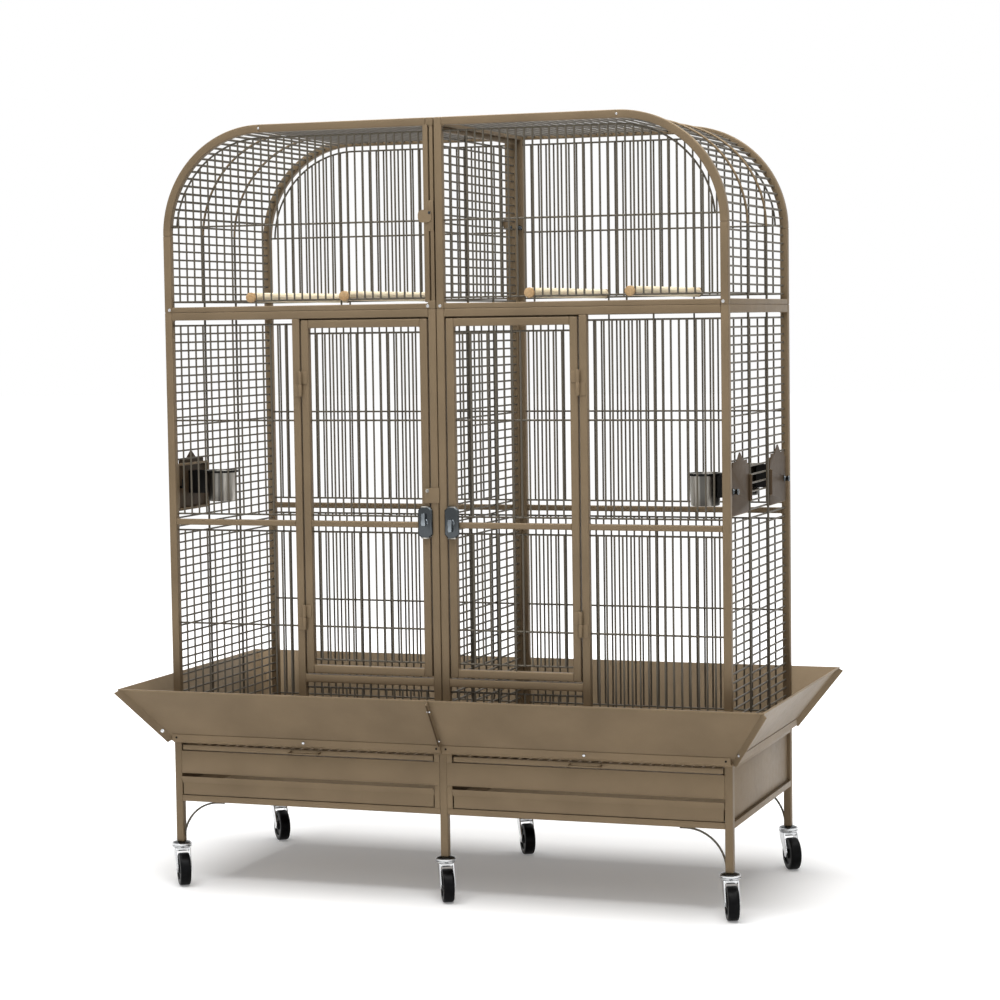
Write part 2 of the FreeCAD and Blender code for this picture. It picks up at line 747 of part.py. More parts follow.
def hinge_place():
    """Feeder hinge axis: its distance outside, and how far it lies from the port's middle."""
    plate_x = mid_x - wire + port_rod + clear
    return plate_x + feeder_knuckle, port_width / 2 + plate_lap + clear + feeder_pin


def feeder_port(way):
    """Frame of a right-hand feeder port; way tells which end of the side it is at."""
    low, high = port_place()
    axis_x, axis_off = hinge_place()
    centre = way * feeder_offset
    half = port_width / 2
    x0 = mid_x - wire
    x1 = x0 + port_rod
    solids = [block(x0, x1, centre - half, centre + half, low - port_rod, low),
              block(x0, x1, centre - half, centre + half, high, high + port_rod)]
    for edge in (centre - half - port_rod, centre + half):
        solids.append(block(x0, x1, edge, edge + port_rod, low - port_rod, high + port_rod))
    hinge_y0 = centre - way * axis_off
    pin_low = (low + high - feeder_knuckle_length) / 2
    pin = round_pin(feeder_pin, (axis_x, hinge_y0, pin_low - clear - sheet),
                    (0, 0, feeder_knuckle_length + 2 * clear + 2 * sheet))
    near = sorted((hinge_y0 - way * feeder_pin, hinge_y0 + way * feeder_pin))
    for z in (pin_low - clear - sheet, pin_low + feeder_knuckle_length + clear):
        pin = pin.fuse(block(x1, axis_x + feeder_pin, near[0], near[1], z, z + sheet))
    solids.append(pin.removeSplitter())
    return solids


def feeder_door(way):
    """Right-hand feeder plate with a stepped top, its hinge knuckle, folded bracket and cup ring."""
    low, high = port_place()
    axis_x, axis_off = hinge_place()
    centre = way * feeder_offset
    half = port_width / 2 + plate_lap
    x0 = mid_x - wire + port_rod + clear
    bottom = base_top + feeder_level
    shoulder = high + plate_lap
    step = shoulder + step_height
    right = [(half, bottom), (half, shoulder), (half - step_inset, shoulder), (half - step_inset, step),
             (peak_half, step), (peak_tip, step + peak_height)]
    outline = [(x0, centre + y, z) for y, z in right]
    outline += [(x0, centre - y, z) for y, z in reversed(right)]
    door = plate(outline, (plate_sheet, 0, 0))
    hinge_y0 = centre - way * axis_off
    pin_low = (low + high - feeder_knuckle_length) / 2
    along = (0, 0, feeder_knuckle_length)
    leaf = sorted((hinge_y0, centre))
    door = door.fuse(block(x0, x0 + plate_sheet, leaf[0], leaf[1], pin_low, pin_low + feeder_knuckle_length))
    door = door.fuse(prism(feeder_knuckle, pin_sides, (axis_x, hinge_y0, pin_low), along))
    cup_x = x0 - cup_inset
    ring_top = high - ring_drop
    hole = cup_radius + clear
    ring = prism(hole + ring_wall, round_sides, (cup_x, centre, ring_top - ring_height), (0, 0, ring_height))
    wide = bracket_width / 2
    inner = wide - sheet
    floor = ring_top - bracket_height
    bracket = block(cup_x, x0, centre - wide, centre + wide, floor, ring_top)
    bracket = bracket.cut(block(cup_x, x0, centre - inner, centre + inner, floor + sheet, ring_top))
    door = door.multiFuse([ring, bracket])
    door = door.cut(prism(hole, round_sides, (cup_x, centre, floor), (0, 0, bracket_height)))
    door = door.cut(rod(feeder_pin + running_fit, (axis_x, hinge_y0, pin_low), along))
    bore_y = centre + way * (port_width / 2 - knob_inset)
    bore = prism(latch_shaft + running_fit, pin_sides, (x0, bore_y, (low + high) / 2), (plate_sheet, 0, 0))
    door = door.cut(bore)
    return [door.removeSplitter()]


def feeder_latch(way):
    """Knob and tongue that turn in the feeder plate; the tongue stands up when the plate is free."""
    low, high = port_place()
    x0 = mid_x - wire + port_rod + clear
    y = way * (feeder_offset + port_width / 2 - knob_inset)
    z = (low + high) / 2
    face = x0 + plate_sheet + clear
    inside = mid_x - wire - clear
    shaft = round_pin(latch_shaft, (inside - plate_sheet, y, z), (face - inside + plate_sheet, 0, 0))
    knob = rod(knob_radius, (face, y, z), (knob_length, 0, 0))
    tongue = block(inside - plate_sheet, inside, y - latch_shaft, y + latch_shaft,
                   z - latch_shaft, z + latch_tongue)
    return [knob.fuse(shaft).fuse(tongue).removeSplitter()]


def cup_ring(radius, way, z):
    """Corners of one level of a cup."""
    x = mid_x - wire + port_rod + clear - cup_inset
    corner = radius / math.cos(math.pi / round_sides)
    points = []
    for index in range(round_sides):
        angle = 2 * math.pi * (index + 0.5) / round_sides
        points.append((x + corner * math.cos(angle), way * feeder_offset + corner * math.sin(angle), z))
    return points


def tapered(low, high):
    """Solid between two levels with flat sides."""
    faces = [face_of(low), face_of(high)]
    for index in range(round_sides):
        after = (index + 1) % round_sides
        faces.append(face_of((low[index], low[after], high[after], high[index])))
    return Part.makeSolid(Part.makeShell(faces))


def feeder_cup(way):
    """Stainless cup that hangs by its rim in the feeder ring."""
    seat = port_place()[1] - ring_drop
    bottom = seat - cup_height
    lip = seat + cup_wall
    foot = cup_radius - cup_taper
    floor = bottom + cup_wall
    outside = tapered(cup_ring(foot, way, bottom), cup_ring(cup_radius, way, seat))
    rim = plate(cup_ring(cup_radius + cup_rim, way, seat), (0, 0, cup_wall))
    inside = tapered(cup_ring(foot - cup_wall, way, floor), cup_ring(cup_radius - cup_wall, way, lip))
    return [outside.fuse(rim).cut(inside).removeSplitter()]


def caster_places():
    """Caster names with their places under the legs and the way each stands turned."""
    places = {}
    for row, y, turns in (("front", -mid_y, front_turns), ("back", mid_y, back_turns)):
        for column, x, turn in zip(("left", "centre", "right"), (-mid_x, 0.0, mid_x), turns):
            places[row + "_" + column] = (x, y, turn)
    return places


def caster_heads():
    """Swivel heads on the legs, bored for the fork pivots."""
    low = caster_height - head_height
    solids = []
    for x, y, _ in caster_places().values():
        head = rod(head_radius, (x, y, low), (0, 0, head_height))
        depth = pivot_length + clear
        solids.append(head.cut(prism(pivot_radius + running_fit, pin_sides, (x, y, low), (0, 0, depth))))
    return solids


def set_caster(shape, place):
    """Turn a caster piece and move it under its leg."""
    shape.rotate(V(0, 0, 0), V(0, 0, 1), place[2])
    shape.translate(V(place[0], place[1], 0))
    return shape


def caster_fork(place):
    """Bent fork with its pivot and axle; the wheel trails the swivel axis."""
    crown_z = caster_height - head_height - clear
    inner = wheel_width / 2 + fork_gap
    outer = inner + fork_plate
    half = fork_width / 2
    foot = fork_foot
    toe = foot / 2
    arm = ((-half, crown_z), (half, crown_z), (caster_trail + foot, wheel_radius + toe),
           (caster_trail + toe, wheel_radius - foot), (caster_trail - toe, wheel_radius - foot),
           (caster_trail - foot, wheel_radius), (-half, crown_z - foot))
    right = plate([(inner, y, z) for y, z in arm], (fork_plate, 0, 0))
    crown = block(-outer, outer, -half, half, crown_z - fork_plate, crown_z)
    pivot = round_pin(pivot_radius, (0, 0, crown_z), (0, 0, pivot_length))
    axle = round_pin(axle_radius, (-outer, caster_trail, wheel_radius), (2 * outer, 0, 0))
    fork = crown.multiFuse([right, mirrored(right, x=1.0), pivot, axle]).removeSplitter()
    return [set_caster(fork, place)]


def caster_wheel(place):
    """Wheel with a bored hub."""
    start = (-wheel_width / 2, caster_trail, wheel_radius)
    across = (wheel_width, 0, 0)
    bore = prism(axle_radius + running_fit, pin_sides, start, across)
    return [set_caster(rod(wheel_radius, start, across).cut(bore), place)]


def save(name, solids):
    """Write one node's solids."""
    Part.makeCompound(solids).exportStep(os.path.join("parts", name + ".step"))


def flipped(solids):
    """Left-hand copies of right-hand solids."""
    return [mirrored(solid, x=1.0) for solid in solids]


def build():
    """Make every piece and write it."""
    front_skirt = skirt_panel(half_d, 0.0, half_w, True)
    right_skirt = side_skirt()
    nodes = {
        "stand_legs": stand_legs(), "leg_braces": leg_braces(), "base_panels": base_panels(),
        "base_runners": base_runners(), "front_skirts": both_halves([front_skirt]),
        "back_skirts": both_halves([mirrored(front_skirt, y=1.0)]), "right_skirt": right_skirt,
        "left_skirt": flipped(right_skirt), "lower_frame": lower_frame(),
        "front_lower_bars": front_lower_bars(), "back_lower_bars": back_lower_bars(),
        "right_side_bars": side_bars((-feeder_offset, feeder_offset)),
        "left_side_bars": flipped(side_bars((-feeder_offset,))),
        "feeder_ports": feeder_port(-1) + feeder_port(1) + flipped(feeder_port(-1)),
        "upper_hoops": upper_hoops(), "upper_frame": upper_frame(),
        "front_upper_bars": front_upper_bars(), "back_upper_bars": back_upper_bars(),
        "rim_wires": rim_wires(),
        "right_arch_bars": arch_bars(), "left_arch_bars": flipped(arch_bars()),
        "divider_frame": divider_frame(), "divider_bars": divider_bars(),
        "perches": perches(), "door_hinge_pins": door_hinge_pins(),
        "caster_heads": caster_heads(), "left_door_stop": left_door_stop(),
    }
    for side, copy in (("right", list), ("left", flipped)):
        nodes[side + "_door_frame"] = copy(door_frame())
        nodes[side + "_door_bars"] = copy(door_bars())
        nodes[side + "_lock_case"] = copy(lock_case())
        nodes[side + "_lock_handle"] = copy(lock_handle())
        nodes[side + "_grate"] = copy(grate())
        nodes[side + "_tray"] = copy(tray())
    for name, way, copy in (("right_front", -1, list), ("right_back", 1, list), ("left_front", -1, flipped)):
        nodes[name + "_feeder_door"] = copy(feeder_door(way))
        nodes[name + "_feeder_latch"] = copy(feeder_latch(way))
        nodes[name + "_cup"] = copy(feeder_cup(way))
    for name, place in caster_places().items():
        nodes[name + "_fork"] = caster_fork(place)
        nodes[name + "_wheel"] = caster_wheel(place)
    os.makedirs("parts", exist_ok=True)
    for name, solids in nodes.items():
        save(name, solids)


build()
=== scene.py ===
"""Looks of a double parrot cage: welded round bars, coated tubes, skirts, feeders and casters.

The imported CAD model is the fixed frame. Every piece here takes its place from that frame.
"""

import json
import math

import bmesh
import bpy
from bpy.props import FloatProperty, FloatVectorProperty, PointerProperty
from bpy.types import NodeSocket, Operator, Panel, PropertyGroup
from mathutils import Matrix, Vector

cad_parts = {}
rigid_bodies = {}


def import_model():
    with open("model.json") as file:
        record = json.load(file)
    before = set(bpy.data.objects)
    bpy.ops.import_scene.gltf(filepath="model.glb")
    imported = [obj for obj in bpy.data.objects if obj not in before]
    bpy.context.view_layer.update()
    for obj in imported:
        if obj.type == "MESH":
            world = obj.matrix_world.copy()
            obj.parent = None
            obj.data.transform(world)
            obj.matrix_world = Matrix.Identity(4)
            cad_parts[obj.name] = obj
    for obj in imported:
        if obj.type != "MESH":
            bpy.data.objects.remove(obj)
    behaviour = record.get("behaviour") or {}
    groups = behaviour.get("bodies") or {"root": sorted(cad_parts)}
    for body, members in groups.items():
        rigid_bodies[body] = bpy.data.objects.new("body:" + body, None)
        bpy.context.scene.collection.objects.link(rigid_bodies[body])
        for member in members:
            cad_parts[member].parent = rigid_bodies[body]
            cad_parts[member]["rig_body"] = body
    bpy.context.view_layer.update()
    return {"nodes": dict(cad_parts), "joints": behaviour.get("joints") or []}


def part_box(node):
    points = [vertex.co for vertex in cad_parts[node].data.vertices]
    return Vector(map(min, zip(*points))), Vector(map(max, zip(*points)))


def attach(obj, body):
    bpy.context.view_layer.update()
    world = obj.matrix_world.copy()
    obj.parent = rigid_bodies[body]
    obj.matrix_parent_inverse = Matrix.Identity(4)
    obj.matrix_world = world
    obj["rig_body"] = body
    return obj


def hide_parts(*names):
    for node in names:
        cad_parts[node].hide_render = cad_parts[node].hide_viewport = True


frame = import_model()

bl_info = {
    "name": "Parrot cage finish",
    "version": (1, 0, 0),
    "blender": (4, 5, 0),
    "location": "View3D > Sidebar > Cage",
    "description": "Dresses the packed parrot cage with bars, coated tubes and hardware",
    "category": "Object",
}

CAGE = "cage"
PAINT_SLOT = "frame_paint"
BAR_SLOT = "bar_paint"
CHROME_SLOT = "caster_chrome"
RUBBER_SLOT = "wheel_rubber"
STEEL_SLOT = "cup_steel"
WOOD_SLOT = "perch_wood"
LOCK_SLOT = "lock_black"
FEEDER_LOOK = "feeder_coat"
# Look of the cup brackets, whose near black is painted shade, and of the black strip bolts.
BRACKET_LOOK = "black_coat"
TURN_LOOK = "grey_plate"
CAP_LOOK = "toasted_wood"
SIDES = ("left", "right")
FEEDERS = ("right_front", "right_back", "left_front")
CASTERS = ("front_left", "front_centre", "front_right", "back_left", "back_centre", "back_right")
BAR_NODES = ("front_lower_bars", "back_lower_bars", "left_side_bars", "right_side_bars", "front_upper_bars",
             "back_upper_bars", "rim_wires", "left_arch_bars", "right_arch_bars", "divider_bars",
             "left_door_bars", "right_door_bars")
X, Y, Z = Vector((1, 0, 0)), Vector((0, 1, 0)), Vector((0, 0, 1))
WAYS = (-1.0, 1.0)
WHITE, BLACK = (1.0, 1.0, 1.0, 1.0), (0.0, 0.0, 0.0, 1.0)
FULL_TURN = 2 * math.pi
RIGHT_ANGLE = math.pi / 2
SHARP = math.radians(35.0)      # edges that turn more than this stay sharp
SAME_PLACE = 6          # decimals at which two corner points are one
TUBE = 0.019            # side of the frame's square tubes
THIN_BAR = 0.0045       # square bars below this are a panel's bars, and above it their supports
BOX_CORNERS = 8         # a solid with more corners than a box is bent
STRIP_FACE = 0.0124     # how far the skirts' clamp strips stand before the base
STRIP_BOLTS = 0.004     # how far their bolts sit above the base
RIB = 0.0015            # half of a rib between two skirts
HAIR = 0.0001           # distance at which two edges are one


def length(name, default, description):
    """Size property in metres."""
    return FloatProperty(name=name, description=description, default=default, min=0.0, precision=4,
                         subtype="DISTANCE", unit="LENGTH")


def colour(name, default, description):
    """Colour property."""
    return FloatVectorProperty(name=name, description=description, default=default, size=3, min=0.0, max=1.0,
                               subtype="COLOR")


class CageSizes(PropertyGroup):
    """Sizes that the finish adds to the frame."""

    bar: length("Bar", 0.0046, "Diameter of the round panel bars")
    support: length("Support", 0.0058, "Diameter of the supports that carry the level bars")
    tube_edge: length("Tube edge", 0.0022, "Radius of the square tubes' long edges")
    sheet_edge: length("Sheet edge", 0.0006, "Radius of the sheet metal's cut edges")
    weld: length("Weld", 0.0017, "Radius of the weld beads in the corners of the frame")
    arch: length("Arch", 0.261, "Outside radius of the bent hoops")
    bolt: length("Bolt", 0.0030, "Radius of the bolt heads")
    hinge: length("Hinge", 0.005, "Radius of the door hinges' knuckles")
    lock_corner: length("Lock corner", 0.010, "Cut corners of the lock cases")


class CageColours(PropertyGroup):
    """Base colours of the finishes."""

    paint: colour("Frame coat", (0.218, 0.160, 0.098), "Bronze-brown coat of tubes and sheets")
    bars: colour("Bar coat", (0.105, 0.092, 0.072), "Coat of the welded bars")
    feeder: colour("Feeder coat", (0.080, 0.054, 0.032), "Darker coat of the feeder plates")
    # The brackets' near black is painted shade of the feeder's inside; the strip bolts share it as their
    # black coat.
    bracket: colour("Bracket shade", (0.010, 0.0095, 0.009), "Near black of the cup brackets, painted shade of the feeder's inside")
    chrome: colour("Chrome", (0.60, 0.61, 0.62), "Plated casters, bolts and screws")
    rubber: colour("Wheel", (0.002, 0.002, 0.0024), "Wheels")
    steel: colour("Steel", (0.34, 0.325, 0.295), "Feeder cups, ends of the locks and the tab's bolt")
    turn: colour("Turn", (0.20, 0.222, 0.240), "Thumb turns of the locks")
    wood: colour("Wood", (0.97, 0.81, 0.58), "Perches")
    cap: colour("Cap wood", (0.52, 0.345, 0.18), "Caps on the ends of the perches")
    lock: colour("Lock", (0.058, 0.064, 0.068), "Lock cases and knobs")
    floor: colour("Floor", (0.90, 0.90, 0.90), "Studio floor")


def set_inputs(tree, node, inputs):
    """Values and links into a shader node's sockets."""
    for key, value in inputs.items():
        if isinstance(value, NodeSocket):
            tree.links.new(value, node.inputs[key])
        else:
            node.inputs[key].default_value = value


def shader_node(tree, kind, inputs=None, **settings):
    """New shader node with its settings, values and incoming links."""
    made = tree.nodes.new(kind)
    for key, value in settings.items():
        setattr(made, key, value)
    set_inputs(tree, made, inputs or {})
    return made


def shade(rgb, factor):
    """Lighter or darker copy of a colour, ready for a socket."""
    return tuple(min(1.0, channel * factor) for channel in rgb) + (1.0,)


def ramp(tree, value, low, high, start=0.0, end=1.0):
    """Colour ramp between two colours."""
    made = shader_node(tree, "ShaderNodeValToRGB", {"Fac": value})
    for element, tone, place in zip(made.color_ramp.elements, (low, high), (start, end)):
        element.position = place
        element.color = tone
    return made.outputs["Color"]


def span(tree, value, low, high, start=0.0, end=1.0):
    """Value between start and end spread over a range."""
    made = shader_node(tree, "ShaderNodeMapRange", {"Value": value, "From Min": start, "From Max": end,
                                                    "To Min": low, "To Max": high})
    return made.outputs["Result"]


def noise(tree, scale, detail=3.0, stretch=(1.0, 1.0, 1.0)):
    """Noise in the piece's own metres, stretched along an axis if asked."""
    place = shader_node(tree, "ShaderNodeTexCoord").outputs["Object"]
    mapped = shader_node(tree, "ShaderNodeMapping", {"Vector": place, "Scale": stretch}).outputs["Vector"]
    made = shader_node(tree, "ShaderNodeTexNoise", {"Vector": mapped, "Scale": scale, "Detail": detail})
    return made.outputs["Fac"]


def mix(tree, kind, factor, first, second):
    """Blend of two colours."""
    made = shader_node(tree, "ShaderNodeMix", {0: factor, 6: first, 7: second},
                       data_type="RGBA", blend_type=kind)
    return made.outputs[2]


def relief(tree, height, strength, distance):
    """Fine relief, as a shader's normal."""
    made = shader_node(tree, "ShaderNodeBump", {"Height": height, "Strength": strength, "Distance": distance})
    return made.outputs["Normal"]


def material(name, fill, *values):
    """Material of that name; the first time, its shader takes what the filling function gives."""
    made = bpy.data.materials.get(name)
    if made is None:
        made = bpy.data.materials.new(name)
        made.use_nodes = True
        tree = made.node_tree
        set_inputs(tree, tree.nodes["Principled BSDF"], fill(tree, *values))
    return made


def coat(tree, rgb, metallic=0.15, gloss=0.10):
    """Powder coat: cloudy tone, fine flakes, orange-peel surface, and a painted highlight that lightens the
    edges.
    """
    cloud = ramp(tree, noise(tree, 7.0), shade(rgb, 0.90), shade(rgb, 1.10), 0.3, 0.7)
    flake = ramp(tree, noise(tree, 1900.0, 1.0), shade(WHITE[:3], 0.84), WHITE, 0.36, 0.62)
    flaked = mix(tree, "MULTIPLY", 1.0, cloud, flake)
    edge = shader_node(tree, "ShaderNodeNewGeometry").outputs["Pointiness"]
    # Painted highlight: where pointiness marks an edge, the coat turns lighter.
    painted_edge_highlight = span(tree, ramp(tree, edge, BLACK, WHITE, 0.53, 0.62), 0.0, 0.35)
    return {"Base Color": mix(tree, "MIX", painted_edge_highlight, flaked, shade(rgb, 1.55)),
            "Roughness": span(tree, noise(tree, 60.0), 0.36, 0.52),
            "Normal": relief(tree, noise(tree, 620.0, 2.0), 0.12, 0.0006),
            "Metallic": metallic, "Specular IOR Level": gloss}


def plating(tree, rgb, low=0.10, high=0.24):
    """Plated metal with faint cloudiness and fine scratches."""
    return {"Base Color": ramp(tree, noise(tree, 40.0), shade(rgb, 0.9), shade(rgb, 1.05)),
            "Roughness": span(tree, noise(tree, 300.0, 4.0, (1.0, 1.0, 6.0)), low, high),
            "Normal": relief(tree, noise(tree, 900.0, 2.0), 0.03, 0.0003),
            "Metallic": 1.0}


def steel(tree, rgb):
    """Stainless steel with broad upright light and dark bands of painted reflection in its colour, and faint
    brushing round the cup.
    """
    # Painted reflection: the colour swings between dark and bright upright stripes.
    painted_reflection_bands = noise(tree, 42.0, 1.0, (1.0, 1.0, 0.02))
    brush = noise(tree, 90.0, 2.0, (0.2, 0.2, 6.0))
    return {"Base Color": ramp(tree, painted_reflection_bands, shade(rgb, 0.28), shade(rgb, 1.55), 0.40, 0.62),
            "Roughness": span(tree, brush, 0.32, 0.42),
            "Metallic": 1.0}


def rubber(tree, rgb):
    """Black wheel with moulding grain and floor dust on the tread."""
    return {"Base Color": ramp(tree, noise(tree, 70.0, 4.0), shade(rgb, 0.8), shade(rgb, 2.4), 0.45, 0.8),
            "Roughness": span(tree, noise(tree, 150.0), 0.26, 0.42),
            "Normal": relief(tree, noise(tree, 1200.0), 0.10, 0.0003),
            "Specular IOR Level": 0.08}


def wood(tree, rgb):
    """Dowel wood with grain along the perch and a few darker streaks."""
    grain = noise(tree, 240.0, 5.0, (1.0, 0.03, 1.0))
    streak = noise(tree, 45.0, 4.0, (1.0, 0.10, 1.0))
    fine = ramp(tree, grain, shade(rgb, 0.80), shade(rgb, 1.10), 0.32, 0.68)
    broad = ramp(tree, streak, shade((1.0, 0.92, 0.82), 0.88), WHITE, 0.30, 0.55)
    return {"Base Color": mix(tree, "MULTIPLY", 1.0, fine, broad),
            "Roughness": span(tree, grain, 0.48, 0.70),
            "Normal": relief(tree, grain, 0.25, 0.0006),
            "Specular IOR Level": 0.25}


def seen_by_eye(tree):
    """1 for rays that show a surface directly, in a mirror or through glass, and 0 for light."""
    path = shader_node(tree, "ShaderNodeLightPath").outputs
    seen = path["Is Camera Ray"]
    for kind in ("Is Glossy Ray", "Is Transmission Ray"):
        seen = shader_node(tree, "ShaderNodeMath", {0: seen, 1: path[kind]}, operation="MAXIMUM").outputs[0]
    return seen


def floor_coat(tree, rgb):
    """Matt floor that stays white to the eye further out and keeps the cage's shadow."""
    place = shader_node(tree, "ShaderNodeTexCoord").outputs["Object"]
    far = shader_node(tree, "ShaderNodeVectorMath", {0: place}, operation="LENGTH").outputs["Value"]
    glow = span(tree, far, 0.19, 0.86, 1.0, 3.2)
    lift = shader_node(tree, "ShaderNodeMath", {0: seen_by_eye(tree), 1: glow}, operation="MULTIPLY")
    return {"Base Color": ramp(tree, noise(tree, 0.6), shade(rgb, 0.995), shade(rgb, 1.005)),
            "Roughness": 0.9, "Specular IOR Level": 0.0,
            "Emission Color": WHITE, "Emission Strength": lift.outputs[0]}


def finish(context, look):
    """Material of one of the record's slots, or of a piece with a look of its own."""
    tones = context.scene.cage_colours
    makers = {
        PAINT_SLOT: ("bronze_coat", coat, tones.paint),
        BAR_SLOT: ("bar_coat", coat, tones.bars, 0.35),
        FEEDER_LOOK: ("feeder_coat", coat, tones.feeder, 0.0, 0.06),
        BRACKET_LOOK: ("black_coat", coat, tones.bracket, 0.0, 0.10),
        CHROME_SLOT: ("bright_chrome", plating, tones.chrome),
        LOCK_SLOT: ("dark_plate", plating, tones.lock, 0.16, 0.34),
        TURN_LOOK: ("grey_plate", plating, tones.turn, 0.22, 0.36),
        STEEL_SLOT: ("brushed_steel", steel, tones.steel),
        WOOD_SLOT: ("turned_wood", wood, tones.wood),
        CAP_LOOK: ("toasted_wood", wood, tones.cap),
        RUBBER_SLOT: ("black_tread", rubber, tones.rubber),
    }
    return material(*makers[look])


def body_of(node):
    """Body that carries a CAD node."""
    return frame["nodes"][node]["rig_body"]


def joint_named(name):
    """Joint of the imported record."""
    return [entry for entry in frame["joints"] if entry["name"] == name][0]


def place_piece(context, name, mesh, body, slot, replaced=(), look=None):
    """Make an object of a working mesh, finish it and let it ride on its body."""
    data = bpy.data.meshes.new(name)
    bmesh.ops.recalc_face_normals(mesh, faces=mesh.faces)
    mesh.to_mesh(data)
    mesh.free()
    data.materials.append(finish(context, look or slot))
    piece = bpy.data.objects.new(name, data)
    context.scene.collection.objects.link(piece)
    data.set_sharp_from_angle(angle=SHARP)
    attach(piece, body)
    if replaced:
        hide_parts(*replaced)


def replace_node(context, node, name, mesh, slot, look=None):
    """Piece in place of a CAD node, on the node's body."""
    place_piece(context, name, mesh, body_of(node), slot, (node,), look)


def solids_of(node):
    """Closed solids of a CAD node, each as its corner points and its triangles."""
    data = frame["nodes"][node].data
    solids = []
    numbers, points, faces = {}, [], []
    open_edges = set()
    for polygon in data.polygons:
        corners = []
        for vertex in polygon.vertices:
            spot = data.vertices[vertex].co
            key = tuple(round(value, SAME_PLACE) for value in spot)
            if key not in numbers:
                numbers[key] = len(points)
                points.append(spot.copy())
            corners.append(numbers[key])
        faces.append(corners)
        for first, second in zip(corners, corners[1:] + corners[:1]):
            open_edges ^= {(min(first, second), max(first, second))}
        if not open_edges:
            solids.append((points, faces))
            numbers, points, faces = {}, [], []
    if open_edges:
        raise ValueError("the solids of " + node + " aren't closed")
    return solids


def reach_of(points):
    """Lowest and highest corner of some points."""
    low = Vector(min(point[axis] for point in points) for axis in range(3))
    high = Vector(max(point[axis] for point in points) for axis in range(3))
    return low, high


def add_ring(mesh, centre, side, other, outline):
    """Closed row of points round a centre."""
    centre = Vector(centre)
    return [mesh.verts.new(centre + side * u + other * v) for u, v in outline]


def bridge(mesh, rows, smooth=True):
    """Faces between neighbouring rows, and caps at the ends."""
    for first, second in zip(rows, rows[1:]):
        count = len(first)
        for index in range(count):
            after = (index + 1) % count
            face = mesh.faces.new((first[index], first[after], second[after], second[index]))
            face.smooth = smooth
    mesh.faces.new(list(reversed(rows[0])))
    mesh.faces.new(rows[-1])


def round_outline(radius, sides):
    """Round section."""
    angles = [FULL_TURN * step / sides for step in range(sides)]
    return [(radius * math.cos(angle), radius * math.sin(angle)) for angle in angles]


def square_outline(width, height, radius, steps=3):
    """Rounded rectangular section."""
    outline = []
    for corner, (u, v) in enumerate(((1, 1), (-1, 1), (-1, -1), (1, -1))):
        for step in range(steps + 1):
            angle = RIGHT_ANGLE * (corner + step / steps)
            outline.append((u * (width / 2 - radius) + radius * math.cos(angle),
                            v * (height / 2 - radius) + radius * math.sin(angle)))
    return outline


def cut_outline(width, height, corner):
    """Rectangle with cut corners."""
    x, z = width / 2, height / 2
    right = [(x - corner, -z), (x, corner - z), (x, z - corner), (x - corner, z)]
    return right + [(-u, v) for u, v in reversed(right)]


def add_sweep(mesh, path, across, outline):
    """Section pushed along a flat path; across is square to the path's plane."""
    rows = []
    for index, spot in enumerate(path):
        before = path[max(index - 1, 0)]
        after = path[min(index + 1, len(path) - 1)]
        side = across.cross((after - before).normalized()).normalized()
        rows.append(add_ring(mesh, spot, side, across, outline))
    bridge(mesh, rows)


def add_lathe(mesh, profile, origin, axis, sides=32, smooth=True):
    """Turned form: radius and height pairs round an axis; a radius of 0 closes an end."""
    side = axis.orthogonal().normalized()
    other = axis.cross(side)
    least = 1e-5
    rows = []
    for radius, height in profile:
        outline = round_outline(max(radius, least), sides)
        rows.append(add_ring(mesh, Vector(origin) + axis * height, side, other, outline))
    bridge(mesh, rows, smooth)


def add_rod(mesh, start, end, radius, sides=10):
    """Round rod with softly broken ends."""
    way = Vector(end) - Vector(start)
    long, nose, tip = way.length, 0.35 * radius, 0.6 * radius
    profile = ((tip, 0.0), (radius, nose), (radius, long - nose), (tip, long))
    add_lathe(mesh, profile, start, way.normalized(), sides)


def add_bolt(mesh, spot, axis, radius):
    """Washer and hexagon head with a turned crown."""
    washer = ((1.5, 0.0), (1.5, 0.2), (1.42, 0.28))
    head = ((1.0, 0.28), (1.0, 0.83), (0.86, 1.0), (0.5, 1.04))
    for shares, sides, smooth in ((washer, 20, True), (head, 6, False)):
        profile = [(radius * wide, radius * tall) for wide, tall in shares]
        add_lathe(mesh, profile, spot, axis, sides, smooth)


def add_block(mesh, corner, other, radius, steps=2):
    """Box with rounded edges between two opposite corners."""
    low, high = reach_of((corner, other))
    size = high - low
    place = Matrix.Translation((low + high) / 2) @ Matrix.Diagonal(size).to_4x4()
    made = bmesh.ops.create_cube(mesh, size=1.0, matrix=place)
    edges = {edge for vertex in made["verts"] for edge in vertex.link_edges}
    bmesh.ops.bevel(mesh, geom=list(edges), offset=min(radius, 0.45 * min(size)), segments=steps,
                    profile=0.5, affect="EDGES", clamp_overlap=True)


def add_rounded_solid(mesh, points, faces, radius, steps=2):
    """CAD solid, or a closed-up part of one, with its sharp edges rounded."""
    flat, sharp_turn = 0.02, 0.6
    work = bmesh.new()
    used = sorted({index for face in faces for index in face})
    corners = {index: work.verts.new(points[index]) for index in used}
    for face in faces:
        work.faces.new([corners[index] for index in face])
    rims = [edge for edge in work.edges if edge.is_boundary]
    if rims:
        bmesh.ops.holes_fill(work, edges=rims, sides=0)
    bmesh.ops.dissolve_limit(work, angle_limit=flat, verts=work.verts, edges=work.edges)
    sharp = [edge for edge in work.edges
             if len(edge.link_faces) == 2 and edge.calc_face_angle(0.0) > sharp_turn]
    bmesh.ops.bevel(work, geom=sharp, offset=radius, segments=steps, profile=0.5, affect="EDGES",
                    clamp_overlap=True)
    for face in work.faces:
        face.smooth = True
    scratch = bpy.data.meshes.new("scratch")
    work.to_mesh(scratch)
    work.free()
    mesh.from_mesh(scratch)
    bpy.data.meshes.remove(scratch)


